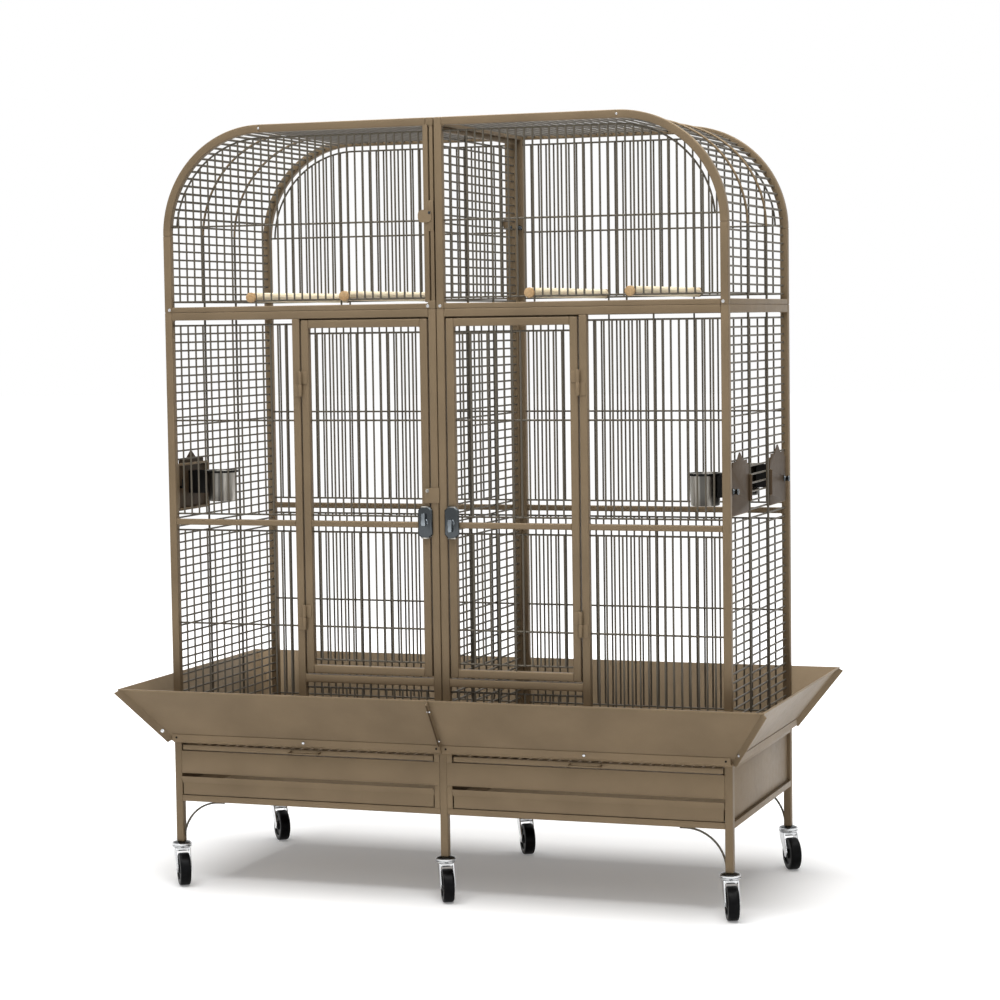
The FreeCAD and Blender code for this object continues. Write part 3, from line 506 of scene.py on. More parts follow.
def rounded_node(node, radius, steps=2):
    """Working mesh of a whole CAD node with its sharp edges rounded."""
    mesh = bmesh.new()
    for points, faces in solids_of(node):
        add_rounded_solid(mesh, points, faces, radius, steps)
    return mesh


def arc_path(points, arch, steps=28):
    """Middle line of a bent bar or tube of the arch, read from its solid."""
    low, high = reach_of(points)
    past_seam = 0.01
    way = 1.0 if high.x > 0 and low.x > -past_seam else -1.0
    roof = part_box("upper_frame")[1]
    hub = Vector((way * (roof.x - arch), 0.0, roof.z - arch))
    rays = [Vector((way * (point.x - hub.x), point.z - hub.z)) for point in points]
    angles = [math.atan2(max(ray.y, 0.0), ray.x) for ray in rays]
    radii = [ray.length for ray in rays]
    middle = (min(radii) + max(radii)) / 2
    start, end = min(angles), max(angles)
    path = []
    for step in range(steps + 1):
        angle = start + (end - start) * step / steps
        path.append(Vector((hub.x + way * middle * math.cos(angle), (low.y + high.y) / 2,
                            hub.z + middle * math.sin(angle))))
    return path


def add_bar(mesh, points, sizes):
    """Round bar in place of a square one, straight or bent over the arch."""
    low, high = reach_of(points)
    size = high - low
    if len(points) > BOX_CORNERS:
        radius = sizes.bar / 2 if size.y < THIN_BAR else sizes.support / 2
        add_sweep(mesh, arc_path(points, sizes.arch), Y, round_outline(radius, sides=10))
        return
    along = max(range(3), key=lambda axis: size[axis])
    start, end = (low + high) / 2, (low + high) / 2
    start[along] = low[along]
    end[along] = high[along]
    thick, wide = sorted(size)[:2]
    square = wide - thick < 2 * HAIR
    radius = sizes.support / 2 if square and thick > THIN_BAR else sizes.bar / 2
    add_rod(mesh, start, end, radius)


class CAGE_OT_bars(Operator):
    """Round welded bars in place of the square ones of every panel"""

    bl_idname = "cage.bars"
    bl_label = "Welded bars"

    def execute(self, context):
        sizes = context.scene.cage_sizes
        for node in BAR_NODES:
            mesh = bmesh.new()
            for points, _ in solids_of(node):
                add_bar(mesh, points, sizes)
            replace_node(context, node, node.replace("bars", "wires"), mesh, BAR_SLOT)
        return {"FINISHED"}


def inside_any(spot, boxes):
    """Whether a point lies in one of the boxes."""
    return any(all(low[axis] < spot[axis] < high[axis] for axis in range(3)) for low, high in boxes)


def add_welds(mesh, boxes, radius):
    """Weld beads in the inner corners where a rail meets a post."""
    nudge = 0.001
    for low, high in boxes:
        size = high - low
        along = max(range(3), key=lambda axis: size[axis])
        if along == 2:
            continue
        depth = 1 - along
        for end, way in ((low, -1), (high, 1)):
            for edge, up in ((low, -1), (high, 1)):
                spot = (low + high) / 2
                spot[along] = end[along]
                spot[2] = edge[2]
                probe = spot.copy()
                probe[along] += way * nudge
                probe[2] += up * nudge
                if not inside_any(probe, boxes):
                    continue
                start, stop = spot.copy(), spot.copy()
                start[depth] = low[depth] + radius
                stop[depth] = high[depth] - radius
                add_rod(mesh, start, stop, radius, sides=8)


def add_split_post(mesh, low, high, edge):
    """Upper post left of the seam: a tube, and beside it a strip in a groove with a plate half way up."""
    front, inward = (low.y, 1.0) if low.y < 0 else (high.y, -1.0)
    deep = high.y - low.y
    foot, head = low.z + deep, high.z - deep
    plate_foot, plate_head = 1.597, 1.669
    tuck, soft = 0.003, 0.0008
    groove, strip_end, strip_back = low.x + 0.0040, high.x - 0.0015, 0.012
    post = (low.x, high.x, 0.0, deep)
    tube = (low.x - 0.0075, low.x + 0.0053, 0.00015, deep)
    strip = (low.x + 0.0090, strip_end, 0.0012, strip_back)
    web = (groove, high.x, 0.011, deep)
    plate = (groove, strip_end, 0.0003, strip_back)
    for part, bottom, top, radius in ((post, low.z, foot, edge), (post, head, high.z, edge),
                                      (tube, foot - tuck, head + tuck, edge),
                                      (strip, foot - tuck, head + tuck, soft),
                                      (web, foot - tuck, head + tuck, soft),
                                      (plate, plate_foot, plate_head, soft)):
        left, right, near, far = part
        add_block(mesh, (left, front + inward * near, bottom),
                  (right, front + inward * far, top), radius, steps=3)


class CAGE_OT_tubes(Operator):
    """Square tubes with rounded edges, weld beads and the bent hoops of the arch"""

    bl_idname = "cage.tubes"
    bl_label = "Frame tubes"

    def execute(self, context):
        sizes = context.scene.cage_sizes
        seam_gap, least_post, brace_edge = 0.005, 0.3, 0.0019
        for node, name in (("lower_frame", "lower_tubes"), ("upper_frame", "upper_tubes"),
                           ("stand_legs", "leg_tubes"), ("divider_frame", "divider_tubes")):
            mesh = bmesh.new()
            boxes = []
            for points, faces in solids_of(node):
                low, high = reach_of(points)
                boxes.append((low, high))
                beside_seam = -seam_gap < high.x < 0 and high.z - low.z > least_post
                if node == "upper_frame" and beside_seam:
                    add_split_post(mesh, low, high, sizes.tube_edge)
                else:
                    add_rounded_solid(mesh, points, faces, sizes.tube_edge, steps=3)
            add_welds(mesh, boxes, sizes.weld)
            replace_node(context, node, name, mesh, PAINT_SLOT)
        self.hoops(context, sizes)
        braces = rounded_node("leg_braces", brace_edge, steps=3)
        replace_node(context, "leg_braces", "brace_rods", braces, BAR_SLOT)
        return {"FINISHED"}

    def hoops(self, context, sizes):
        """Bent square tubes at the corners of the arch and bent rods between them."""
        mesh = bmesh.new()
        for points, faces in solids_of("upper_hoops"):
            low, high = reach_of(points)
            wide = high.y - low.y
            if len(points) <= BOX_CORNERS:
                add_rounded_solid(mesh, points, faces, sizes.tube_edge, steps=3)
                continue
            outline = round_outline(sizes.support / 2, sides=10)
            if wide > 3 * sizes.support:
                outline = square_outline(wide, wide, sizes.tube_edge)
            add_sweep(mesh, arc_path(points, sizes.arch), Y, outline)
        replace_node(context, "upper_hoops", "bent_hoops", mesh, PAINT_SLOT)


def add_skirt_edges(mesh, points, radius):
    """Rolled hem along the outer edge of a skirt's lip, and the clamp strip before its fold."""
    low, high = reach_of(points)
    across = 1 if high.x - low.x > high.y - low.y else 0
    along = 1 - across
    crest = [point for point in points if point.z > high.z - HAIR]
    outward = max(crest, key=lambda point: abs(point[across]))[across]
    rim = [point for point in crest if abs(point[across] - outward) < HAIR]
    start = min(rim, key=lambda point: point[along]).copy()
    end = max(rim, key=lambda point: point[along]).copy()
    for spot in (start, end):
        spot.z = high.z - radius
        spot[across] = outward - math.copysign(radius, outward)
    add_rod(mesh, start, end, radius, sides=12)
    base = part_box("base_panels")[1]
    cut, back, bottom, top = 0.0006, 0.0012, -0.0039, 0.0126
    section = ((back, -0.0085), (STRIP_FACE - cut, bottom - cut), (STRIP_FACE, bottom),
               (STRIP_FACE, top - cut), (STRIP_FACE - cut, top), (0.0105, top), (back, -0.0003))
    seam_zone, end_gap = 0.1, 0.001
    rows = []
    for spot in (start, end):
        if abs(spot[along]) > seam_zone:
            spot[along] = math.copysign(base[along] - end_gap, spot[along])
        row = []
        for out, rise in section:
            spot[across] = math.copysign(base[across] + out, outward)
            spot.z = base.z + rise
            row.append(mesh.verts.new(spot))
        rows.append(row)
    bridge(mesh, rows, smooth=False)


class CAGE_OT_base(Operator):
    """Base sheets, runners, trays, grates and the skirts with their hems"""

    bl_idname = "cage.base"
    bl_label = "Base and skirts"

    def execute(self, context):
        sizes = context.scene.cage_sizes
        for node, name, edge in (("base_panels", "base_sheets", 0.0007),
                                 ("base_runners", "runner_angles", 0.0005),
                                 ("left_tray", "left_tray_pan", 0.0006),
                                 ("right_tray", "right_tray_pan", 0.0006)):
            replace_node(context, node, name, rounded_node(node, edge), PAINT_SLOT)
        hem = 0.0018
        for node in ("front_skirts", "back_skirts", "left_skirt", "right_skirt"):
            mesh = bmesh.new()
            for points, faces in solids_of(node):
                add_rounded_solid(mesh, points, faces, sizes.sheet_edge)
                add_skirt_edges(mesh, points, hem)
            replace_node(context, node, node + "_sheet", mesh, PAINT_SLOT)
        self.painted_seam_shade(context)
        for side in SIDES:
            self.grate(context, side, sizes)
        return {"FINISHED"}

    def painted_seam_shade(self, context):
        """Dark rods on the ribs where two skirts meet, from the lip down to the clamp strip: painted shade of
        the gap between the skirts.
        """
        low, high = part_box("front_skirts")
        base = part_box("base_panels")[1]
        lip_in, lip_down, fold_out, fold_up, radius = 0.0022, 0.0115, 0.0267, 0.0125, 0.0021
        mesh = bmesh.new()
        for front in WAYS:
            lip = Vector((0.0, front * (-low.y - lip_in), high.z - lip_down))
            fold = Vector((0.0, front * (base.y + fold_out), base.z + fold_up))
            add_rod(mesh, lip, fold, radius, sides=12)
        # The dark feeder coat on these rods is painted shade along the seam.
        place_piece(context, "painted_seam_shade", mesh, CAGE, PAINT_SLOT, look=FEEDER_LOOK)

    def grate(self, context, side, sizes):
        """Grate of flat edge bars and round bars, with a pull bent from one rod."""
        node = side + "_grate"
        pull_zone, flat_edge = 0.006, 0.0016
        edge_bars_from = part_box(side + "_tray")[0].y + pull_zone
        mesh = bmesh.new()
        pull = []
        for points, faces in solids_of(node):
            low, high = reach_of(points)
            if low.y < edge_bars_from:
                pull.append((low, high))
            elif sorted(high - low)[1] < THIN_BAR:
                add_bar(mesh, points, sizes)
            else:
                add_rounded_solid(mesh, points, faces, flat_edge)
        grip_low, grip_high = min(pull, key=lambda box: box[0].y)
        leg_high = max(pull, key=lambda box: box[1].y)[1]
        self.pull(mesh, grip_low, grip_high, leg_high.y)
        replace_node(context, node, side + "_grate_bars", mesh, PAINT_SLOT)

    def pull(self, mesh, low, high, back, bend=0.009, steps=6):
        """Round rod from the grate's front bar, round two bends and back to it."""
        radius = (high.z - low.z) / 2
        z = (low.z + high.z) / 2
        left, right, front = low.x + radius, high.x - radius, low.y + radius
        quarter = [RIGHT_ANGLE * step / steps for step in range(steps + 1)]
        path = [Vector((left, back, z))]
        for hub, way, angles in ((left + bend, -1.0, quarter), (right - bend, 1.0, quarter[::-1])):
            for angle in angles:
                path.append(Vector((hub + way * bend * math.cos(angle),
                                    front + bend - bend * math.sin(angle), z)))
        path.append(Vector((right, back, z)))
        add_sweep(mesh, path, Z, round_outline(radius, sides=12))


class CAGE_OT_doors(Operator):
    """Door frames with their hinges, the stop tab and the stops over the doors"""

    bl_idname = "cage.doors"
    bl_label = "Doors"

    def execute(self, context):
        sizes = context.scene.cage_sizes
        hinge_reach = 0.05
        for side in SIDES:
            node = side + "_door_frame"
            mesh = bmesh.new()
            boxes = []
            for points, faces in solids_of(node):
                low, high = reach_of(points)
                if max(high.x - low.x, high.z - low.z) < hinge_reach:
                    self.hinge(mesh, low, high, sizes.hinge)
                    continue
                add_rounded_solid(mesh, points, faces, sizes.tube_edge, steps=3)
                boxes.append((low, high))
            add_welds(mesh, boxes, sizes.weld)
            replace_node(context, node, side + "_door_tubes", mesh, PAINT_SLOT)
        mesh = bmesh.new()
        for points, _ in solids_of("door_hinge_pins"):
            self.hinge(mesh, *reach_of(points), sizes.hinge)
        replace_node(context, "door_hinge_pins", "hinge_halves", mesh, PAINT_SLOT)
        tab = rounded_node("left_door_stop", radius=0.0007)
        replace_node(context, "left_door_stop", "stop_tab", tab, PAINT_SLOT)
        self.stops(context)
        return {"FINISHED"}

    def stops(self, context):
        """Flat stop on the back of the rail over each door, behind the door's upper edge."""
        lap = TUBE + 0.012
        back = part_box("lower_frame")[0].y + TUBE
        mesh = bmesh.new()
        for side in SIDES:
            low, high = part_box(side + "_door_bars")
            top = high.z + TUBE
            for near, far, foot, head in ((0.0006, 0.0024, -0.007, 0.013), (-0.0001, 0.0007, 0.006, 0.012)):
                add_block(mesh, (low.x - lap, back + near, top + foot),
                          (high.x + TUBE, back + far, top + head), radius=0.0003)
        place_piece(context, "door_stops", mesh, CAGE, PAINT_SLOT)

    def hinge(self, mesh, low, high, radius):
        """Turned knuckle with a worn rim at each end, on a leaf, and the pin above it on the fixed half."""
        side = "right" if low.x > 0 else "left"
        pin_x, pin_y = joint_named(side + "_door_hinge")["pos_m"][:2]
        top = min(high.z, low.z + 0.030)
        tall, rim, leaf = top - low.z, 0.0012, 0.002
        bore, soft = radius * 0.55, radius * 0.86
        profile = ((bore, 0.0), (soft, 0.0), (radius, rim), (radius, tall - rim), (soft, tall), (bore, tall))
        add_lathe(mesh, profile, (pin_x, pin_y, low.z), Z, sides=24)
        if high.z > top + rim:
            add_rod(mesh, (pin_x, pin_y, top - rim), (pin_x, pin_y, high.z), radius=0.0025, sides=14)
        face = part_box("lower_frame")[0].y
        outer = high.x if abs(high.x - pin_x) > abs(low.x - pin_x) else low.x
        add_block(mesh, (pin_x, face - leaf, low.z), (outer, face, top), radius=0.0006)


class CAGE_OT_locks(Operator):
    """Eight-sided lock cases with bright ends and their thumb turns"""

    bl_idname = "cage.locks"
    bl_label = "Locks"

    def execute(self, context):
        corner = context.scene.cage_sizes.lock_corner
        for side in SIDES:
            node = side + "_lock_case"
            low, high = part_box(node)
            middle = (low + high) / 2
            size = high - low
            foot = 0.0005
            back = high.y - foot
            mesh = bmesh.new()
            rows = []
            for inset, y in ((0.0, back), (0.0, low.y + 0.0042), (0.0022, low.y + 0.0012), (0.0040, low.y)):
                outline = cut_outline(size.x - 2 * inset, size.z - 2 * inset, corner - 0.6 * inset)
                rows.append(add_ring(mesh, (middle.x, y, middle.z), X, Z, outline))
            bridge(mesh, rows, smooth=False)
            seat, pad = Vector((middle.x, back, middle.z)), Vector((0.009, 0.0, 0.018))
            add_block(mesh, seat - pad, seat + pad + Y * foot, radius=0.0002)
            replace_node(context, node, side + "_lock_plate", mesh, LOCK_SLOT)
            self.caps(context, side, low, high, corner - 0.002)
            self.turn(context, side, low.y, middle)
        return {"FINISHED"}

    def caps(self, context, side, low, high, inset):
        """Bright end pieces across the top and the bottom of a case."""
        mesh = bmesh.new()
        tall = 0.0052
        for edge, inner in ((low.z, low.z + tall), (high.z, high.z - tall)):
            add_block(mesh, (low.x + inset, low.y + 0.0008, edge),
                      (high.x - inset, high.y - 0.0012, inner), radius=0.0014)
        place_piece(context, side + "_lock_ends", mesh, body_of(side + "_lock_case"), STEEL_SLOT)

    def turn(self, context, side, face, middle):
        """Thumb turn with a waisted grip, a collar, its shaft and its tongue."""
        node = side + "_lock_handle"
        low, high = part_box(node)
        lift = 1.0 if side == "left" else -1.0
        shaft, tongue, gap = 0.0039, 0.0055, 0.0015
        mesh = bmesh.new()
        add_lathe(mesh, ((0.0088, -0.0003), (0.0088, 0.0012), (0.0076, 0.0026)),
                  (middle.x, face, middle.z), -Y, sides=28)
        rows = []
        for height, wide, deep in ((-0.0090, 0.40, 0.45), (-0.0075, 0.80, 0.80), (0.0, 0.95, 1.0),
                                   (0.0090, 0.72, 0.90), (0.0170, 0.80, 0.95), (0.0215, 0.68, 0.85),
                                   (0.0230, 0.30, 0.55)):
            reach = (face - low.y - 0.0020) * deep
            outline = square_outline((high.x - low.x) * wide, reach, 0.0018 * wide)
            spot = Vector((middle.x, face - gap - reach / 2, middle.z + lift * height))
            rows.append(add_ring(mesh, spot, X, Y, outline))
        bridge(mesh, rows)
        add_rod(mesh, (middle.x, face - 0.001, middle.z),
                (middle.x, high.y - 0.0005, middle.z), shaft, sides=20)
        add_block(mesh, (middle.x - tongue, high.y - 0.003, middle.z - tongue),
                  (middle.x + tongue, high.y, high.z), radius=0.0008)
        replace_node(context, node, side + "_thumb_turn", mesh, STEEL_SLOT, TURN_LOOK)


class CAGE_OT_feeders(Operator):
    """Feeder ports, stepped feeder plates, cup rings, latches and steel cups"""

    bl_idname = "cage.feeders"
    bl_label = "Feeders"

    def execute(self, context):
        ports = rounded_node("feeder_ports", radius=0.0012)
        replace_node(context, "feeder_ports", "port_frames", ports, PAINT_SLOT)
        for name in FEEDERS:
            self.door(context, name)
            self.latch(context, name)
            self.cup(context, name)
        return {"FINISHED"}

    def door(self, context, name):
        """Plate with a stepped top and its knuckle, and the bracket with the cup ring, near black as painted
        shade of the feeder's inside.
        """
        node = name + "_feeder_door"
        plate, bracket = bmesh.new(), bmesh.new()
        for points, faces in solids_of(node):
            top = max(point.z for point in points)
            skin = min(abs(point.x) for point in points if point.z > top - 10 * HAIR)
            outside = [abs(point.x) > skin - HAIR for point in points]
            shell = [all(outside[index] for index in face) for face in faces]
            for mesh, outer, edge in ((plate, True, 0.0005), (bracket, False, 0.0004)):
                wanted = [face for face, out in zip(faces, shell) if out == outer]
                add_rounded_solid(mesh, points, wanted, edge)
        replace_node(context, node, name + "_feeder_plate", plate, PAINT_SLOT, FEEDER_LOOK)
        # The bracket takes the near-black look as painted shade of the feeder's shadowed inside.
        place_piece(context, name + "_cup_bracket", bracket, body_of(node), LOCK_SLOT, look=BRACKET_LOOK)

    def latch(self, context, name):
        """Turned knob with a waist and a domed face, its shaft and its tongue."""
        node = name + "_feeder_latch"
        low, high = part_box(node)
        way, outer, inner = (1.0, high.x, low.x) if low.x > 0 else (-1.0, low.x, high.x)
        spot = Vector(joint_named(name + "_latch_turn")["pos_m"])
        axis = X * way
        long = abs(outer - spot.x)
        base = long - 0.014
        half = 0.003
        profile = ((0.0070, base), (0.0078, base + 0.0008), (0.0060, base + 0.0040), (0.0066, long - 0.0040),
                   (0.0076, long - 0.0024), (0.0070, long - 0.0008), (0.0040, long))
        mesh = bmesh.new()
        add_lathe(mesh, profile, spot, axis, sides=24)
        add_rod(mesh, (inner, spot.y, spot.z), spot + axis * (base + 0.001), radius=0.0029, sides=16)
        add_block(mesh, (inner, spot.y - half, spot.z - half),
                  (inner + way * 0.002, spot.y + half, high.z), radius=0.0006)
        replace_node(context, node, name + "_latch_knob", mesh, LOCK_SLOT)

    def cup(self, context, name):
        """Spun cup with a rolled rim, a soft foot and a thin wall."""
        node = name + "_cup"
        low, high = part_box(node)
        middle = (low + high) / 2
        tall = high.z - low.z
        rim, wall, foot = (high.x - low.x) / 2 - 0.0006, 0.0371, 0.0342
        lift, roll, sheet = 0.0008, 0.0004, 0.0012
        profile = ((0.0, lift), (foot - 0.006, lift), (foot - 0.004, 0.0), (foot - 0.001, lift),
                   (foot, 0.003), (wall, tall - 0.0018), (wall + 0.0006, tall - 0.0013),
                   (rim - roll, tall - 0.0012), (rim, tall - 0.0006), (rim - roll, tall),
                   (wall - 0.0006, tall), (wall - sheet, tall - 0.001), (foot - sheet, 0.0035),
                   (foot - 0.0040, 0.0016), (0.0, 0.0018))
        mesh = bmesh.new()
        add_lathe(mesh, profile, (middle.x, middle.y, low.z), Z, sides=56)
        replace_node(context, node, name + "_steel_cup", mesh, STEEL_SLOT)


class CAGE_OT_perches(Operator):
    """Turned wooden perches with a dowel and a cap through each panel, and their screws"""

    bl_idname = "cage.perches"
    bl_label = "Perches"

    def execute(self, context):
        bars_low, bars_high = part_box("front_upper_bars")
        inside, outside = -bars_high.y, -bars_low.y
        dowel, head, sunk, steps = 0.0052, 0.0042, 0.0012, 24
        perches, caps, screws = bmesh.new(), bmesh.new(), bmesh.new()
        for points, _ in solids_of("perches"):
            low, high = reach_of(points)
            middle = (low + high) / 2
            thick = high.y - outside
            radius = (high.z - low.z) / 2
            half = [(dowel, outside + 0.001), (dowel, inside), (radius * 0.82, inside),
                    (radius * 0.93, inside - 0.0015)]
            long = inside - 0.006
            profile = [(r, -y) for r, y in half]
            for step in range(steps + 1):
                wave = math.sin(step * 1.9 + middle.x * 31.0) + math.sin(step * 0.83 + middle.x * 17.0)
                profile.append((radius * (0.945 + 0.008 * wave), long * (2 * step / steps - 1)))
            profile += half[::-1]
            add_lathe(perches, profile, (middle.x, 0.0, middle.z), Y, sides=28)
            cap = ((0.0040, 0.0), (radius * 0.93, 0.0), (radius * 0.97, 0.4 * thick),
                   (radius * 0.95, thick - 0.0012), (radius * 0.80, thick), (radius * 0.30, thick))
            screw = ((head, 0.0), (head, 0.0006), (0.0030, 0.0012), (0.0012, 0.0009))
            for way in WAYS:
                add_lathe(caps, cap, (middle.x, way * outside, middle.z), Y * way, sides=28)
                seat = Vector((middle.x, way * (high.y - sunk), middle.z))
                add_lathe(screws, screw, seat, Y * way, sides=18)
        replace_node(context, "perches", "wooden_perches", perches, WOOD_SLOT)
        place_piece(context, "perch_caps", caps, CAGE, WOOD_SLOT, look=CAP_LOOK)
        place_piece(context, "perch_screws", screws, CAGE, LOCK_SLOT)
        return {"FINISHED"}


class CAGE_OT_casters(Operator):
    """Plated swivel heads and pressed forks with black wheels"""

    bl_idname = "cage.casters"
    bl_label = "Casters"

    def execute(self, context):
        heads, collars = bmesh.new(), bmesh.new()
        bore, rise = 0.0080, 0.0036
        for points, _ in solids_of("caster_heads"):
            low, high = reach_of(points)
            middle = (low + high) / 2
            wide = (high.x - low.x) / 2
            tall = high.z - low.z
            neck = wide - 0.0034
            cups = ((bore, 0.0), (wide - 0.003, 0.0), (wide - 0.0006, 0.0010), (wide, 0.0036), (neck, 0.0044),
                    (neck, 0.0058), (wide - 0.0004, 0.0066), (wide - 0.0002, tall - 0.0048),
                    (wide - 0.0020, tall - rise), (bore, tall - rise))
            add_lathe(heads, cups, (middle.x, middle.y, low.z), Z, sides=40)
            rim = ((bore, 0.0), (wide - 0.0035, 0.0), (wide - 0.0028, 0.0012), (0.0155, 0.0032),
                   (0.0145, rise), (bore, rise))
            add_lathe(collars, rim, (middle.x, middle.y, high.z - rise), Z, sides=40)
        replace_node(context, "caster_heads", "swivel_heads", heads, CHROME_SLOT)
        place_piece(context, "head_collars", collars, CAGE, LOCK_SLOT)
        for name in CASTERS:
            pivot = Vector(joint_named(name + "_swivel_turn")["pos_m"])
            wheel = joint_named(name + "_wheel_turn")
            axle, across = Vector(wheel["pos_m"]), Vector(wheel["axis"])
            self.fork(context, name, pivot, axle, across)
            self.wheel(context, name, axle, across)
        return {"FINISHED"}

    def fork(self, context, name, pivot, axle, across):
        """Pressed fork: a hood under the head, two tapered legs with bosses, and the axle."""
        inner, outer, half = 0.0155, 0.0184, 0.0168
        trail = (axle.xy - pivot.xy).length
        top = pivot.z - 0.0003
        mesh = bmesh.new()
        hood = ((0.0060, -0.0030), (0.0180, -0.0030), (0.0200, -0.0020), (0.0200, -0.0006), (0.0185, 0.0),
                (0.0050, 0.0), (0.0048, 0.0086))
        add_lathe(mesh, hood, Z * top, Z, sides=36)
        boss = ((0.0075, 0.0), (0.0068, 0.0009), (0.0050, 0.0011), (0.0046, 0.0001))
        for way in WAYS:
            self.leg(mesh, (way * inner, way * outer), trail, axle.z, top, half)
            add_lathe(mesh, boss, (way * (outer - 0.0012), trail, axle.z), X * way, sides=24)
        add_block(mesh, (-outer, -half, top - 0.0034), (outer, half, top - 0.0002), radius=0.0012)
        for edge in (-half, half):
            add_block(mesh, (-outer, edge, top - 0.0085),
                      (outer, edge - math.copysign(0.0022, edge), top - 0.001), radius=0.0009)
        add_rod(mesh, (-outer, trail, axle.z), (outer, trail, axle.z), radius=0.0039, sides=18)
        turn = Matrix.Rotation(math.atan2(across.y, across.x), 4, "Z")
        matrix = Matrix.Translation((pivot.x, pivot.y, 0.0)) @ turn
        bmesh.ops.transform(mesh, matrix=matrix, verts=mesh.verts)
        replace_node(context, name + "_fork", name + "_plated_fork", mesh, CHROME_SLOT)

    def leg(self, mesh, faces, trail, axle, top, half, soft=0.0008):
        """Tapered leg of a fork between an inner and an outer face, from the hood down round the axle."""
        outline = [Vector(spot) for spot in (
            (-half, top - 0.001), (half, top - 0.001), (0.0215, top - 0.010),
            (trail + 0.0090, axle + 0.004), (trail + 0.0070, axle - 0.006), (trail, axle - 0.0089),
            (trail - 0.0070, axle - 0.006), (trail - 0.0110, axle + 0.003), (-0.0080, top - 0.022),
            (-0.0165, top - 0.012))]
        middle = sum(outline, Vector((0.0, 0.0))) / len(outline)
        inner, outer = faces
        rows = []
        for x, inset in ((inner, 0.0), (outer - math.copysign(soft, outer), 0.0), (outer, soft)):
            row = []
            for corner in outline:
                ray = corner - middle
                spot = middle + ray * (1.0 - inset / ray.length)
                row.append(mesh.verts.new((x, spot.x, spot.y)))
            rows.append(row)
        bridge(mesh, rows, smooth=False)

    def wheel(self, context, name, axle, across):
        """Wheel with a rounded tread, a dished web, a rim step and a hub."""
        node = name + "_wheel"
        low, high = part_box(node)
        radius = (high.z - low.z) / 2
        half = 0.0138
        flank = half - 0.0004
        side = [(0.0046, half), (0.0105, half), (0.0115, half - 0.0010), (0.0125, half - 0.0040),
                (0.0255, half - 0.0045), (0.0270, half - 0.0012), (0.0290, flank), (0.0310, flank),
                (0.0362, flank), (0.0385, half - 0.0014), (0.0396, half - 0.0034), (radius, half - 0.0062)]
        profile = [(r, -h) for r, h in side] + side[::-1]
        mesh = bmesh.new()
        add_lathe(mesh, profile, axle, across, sides=56)
        replace_node(context, node, name + "_black_wheel", mesh, RUBBER_SLOT)


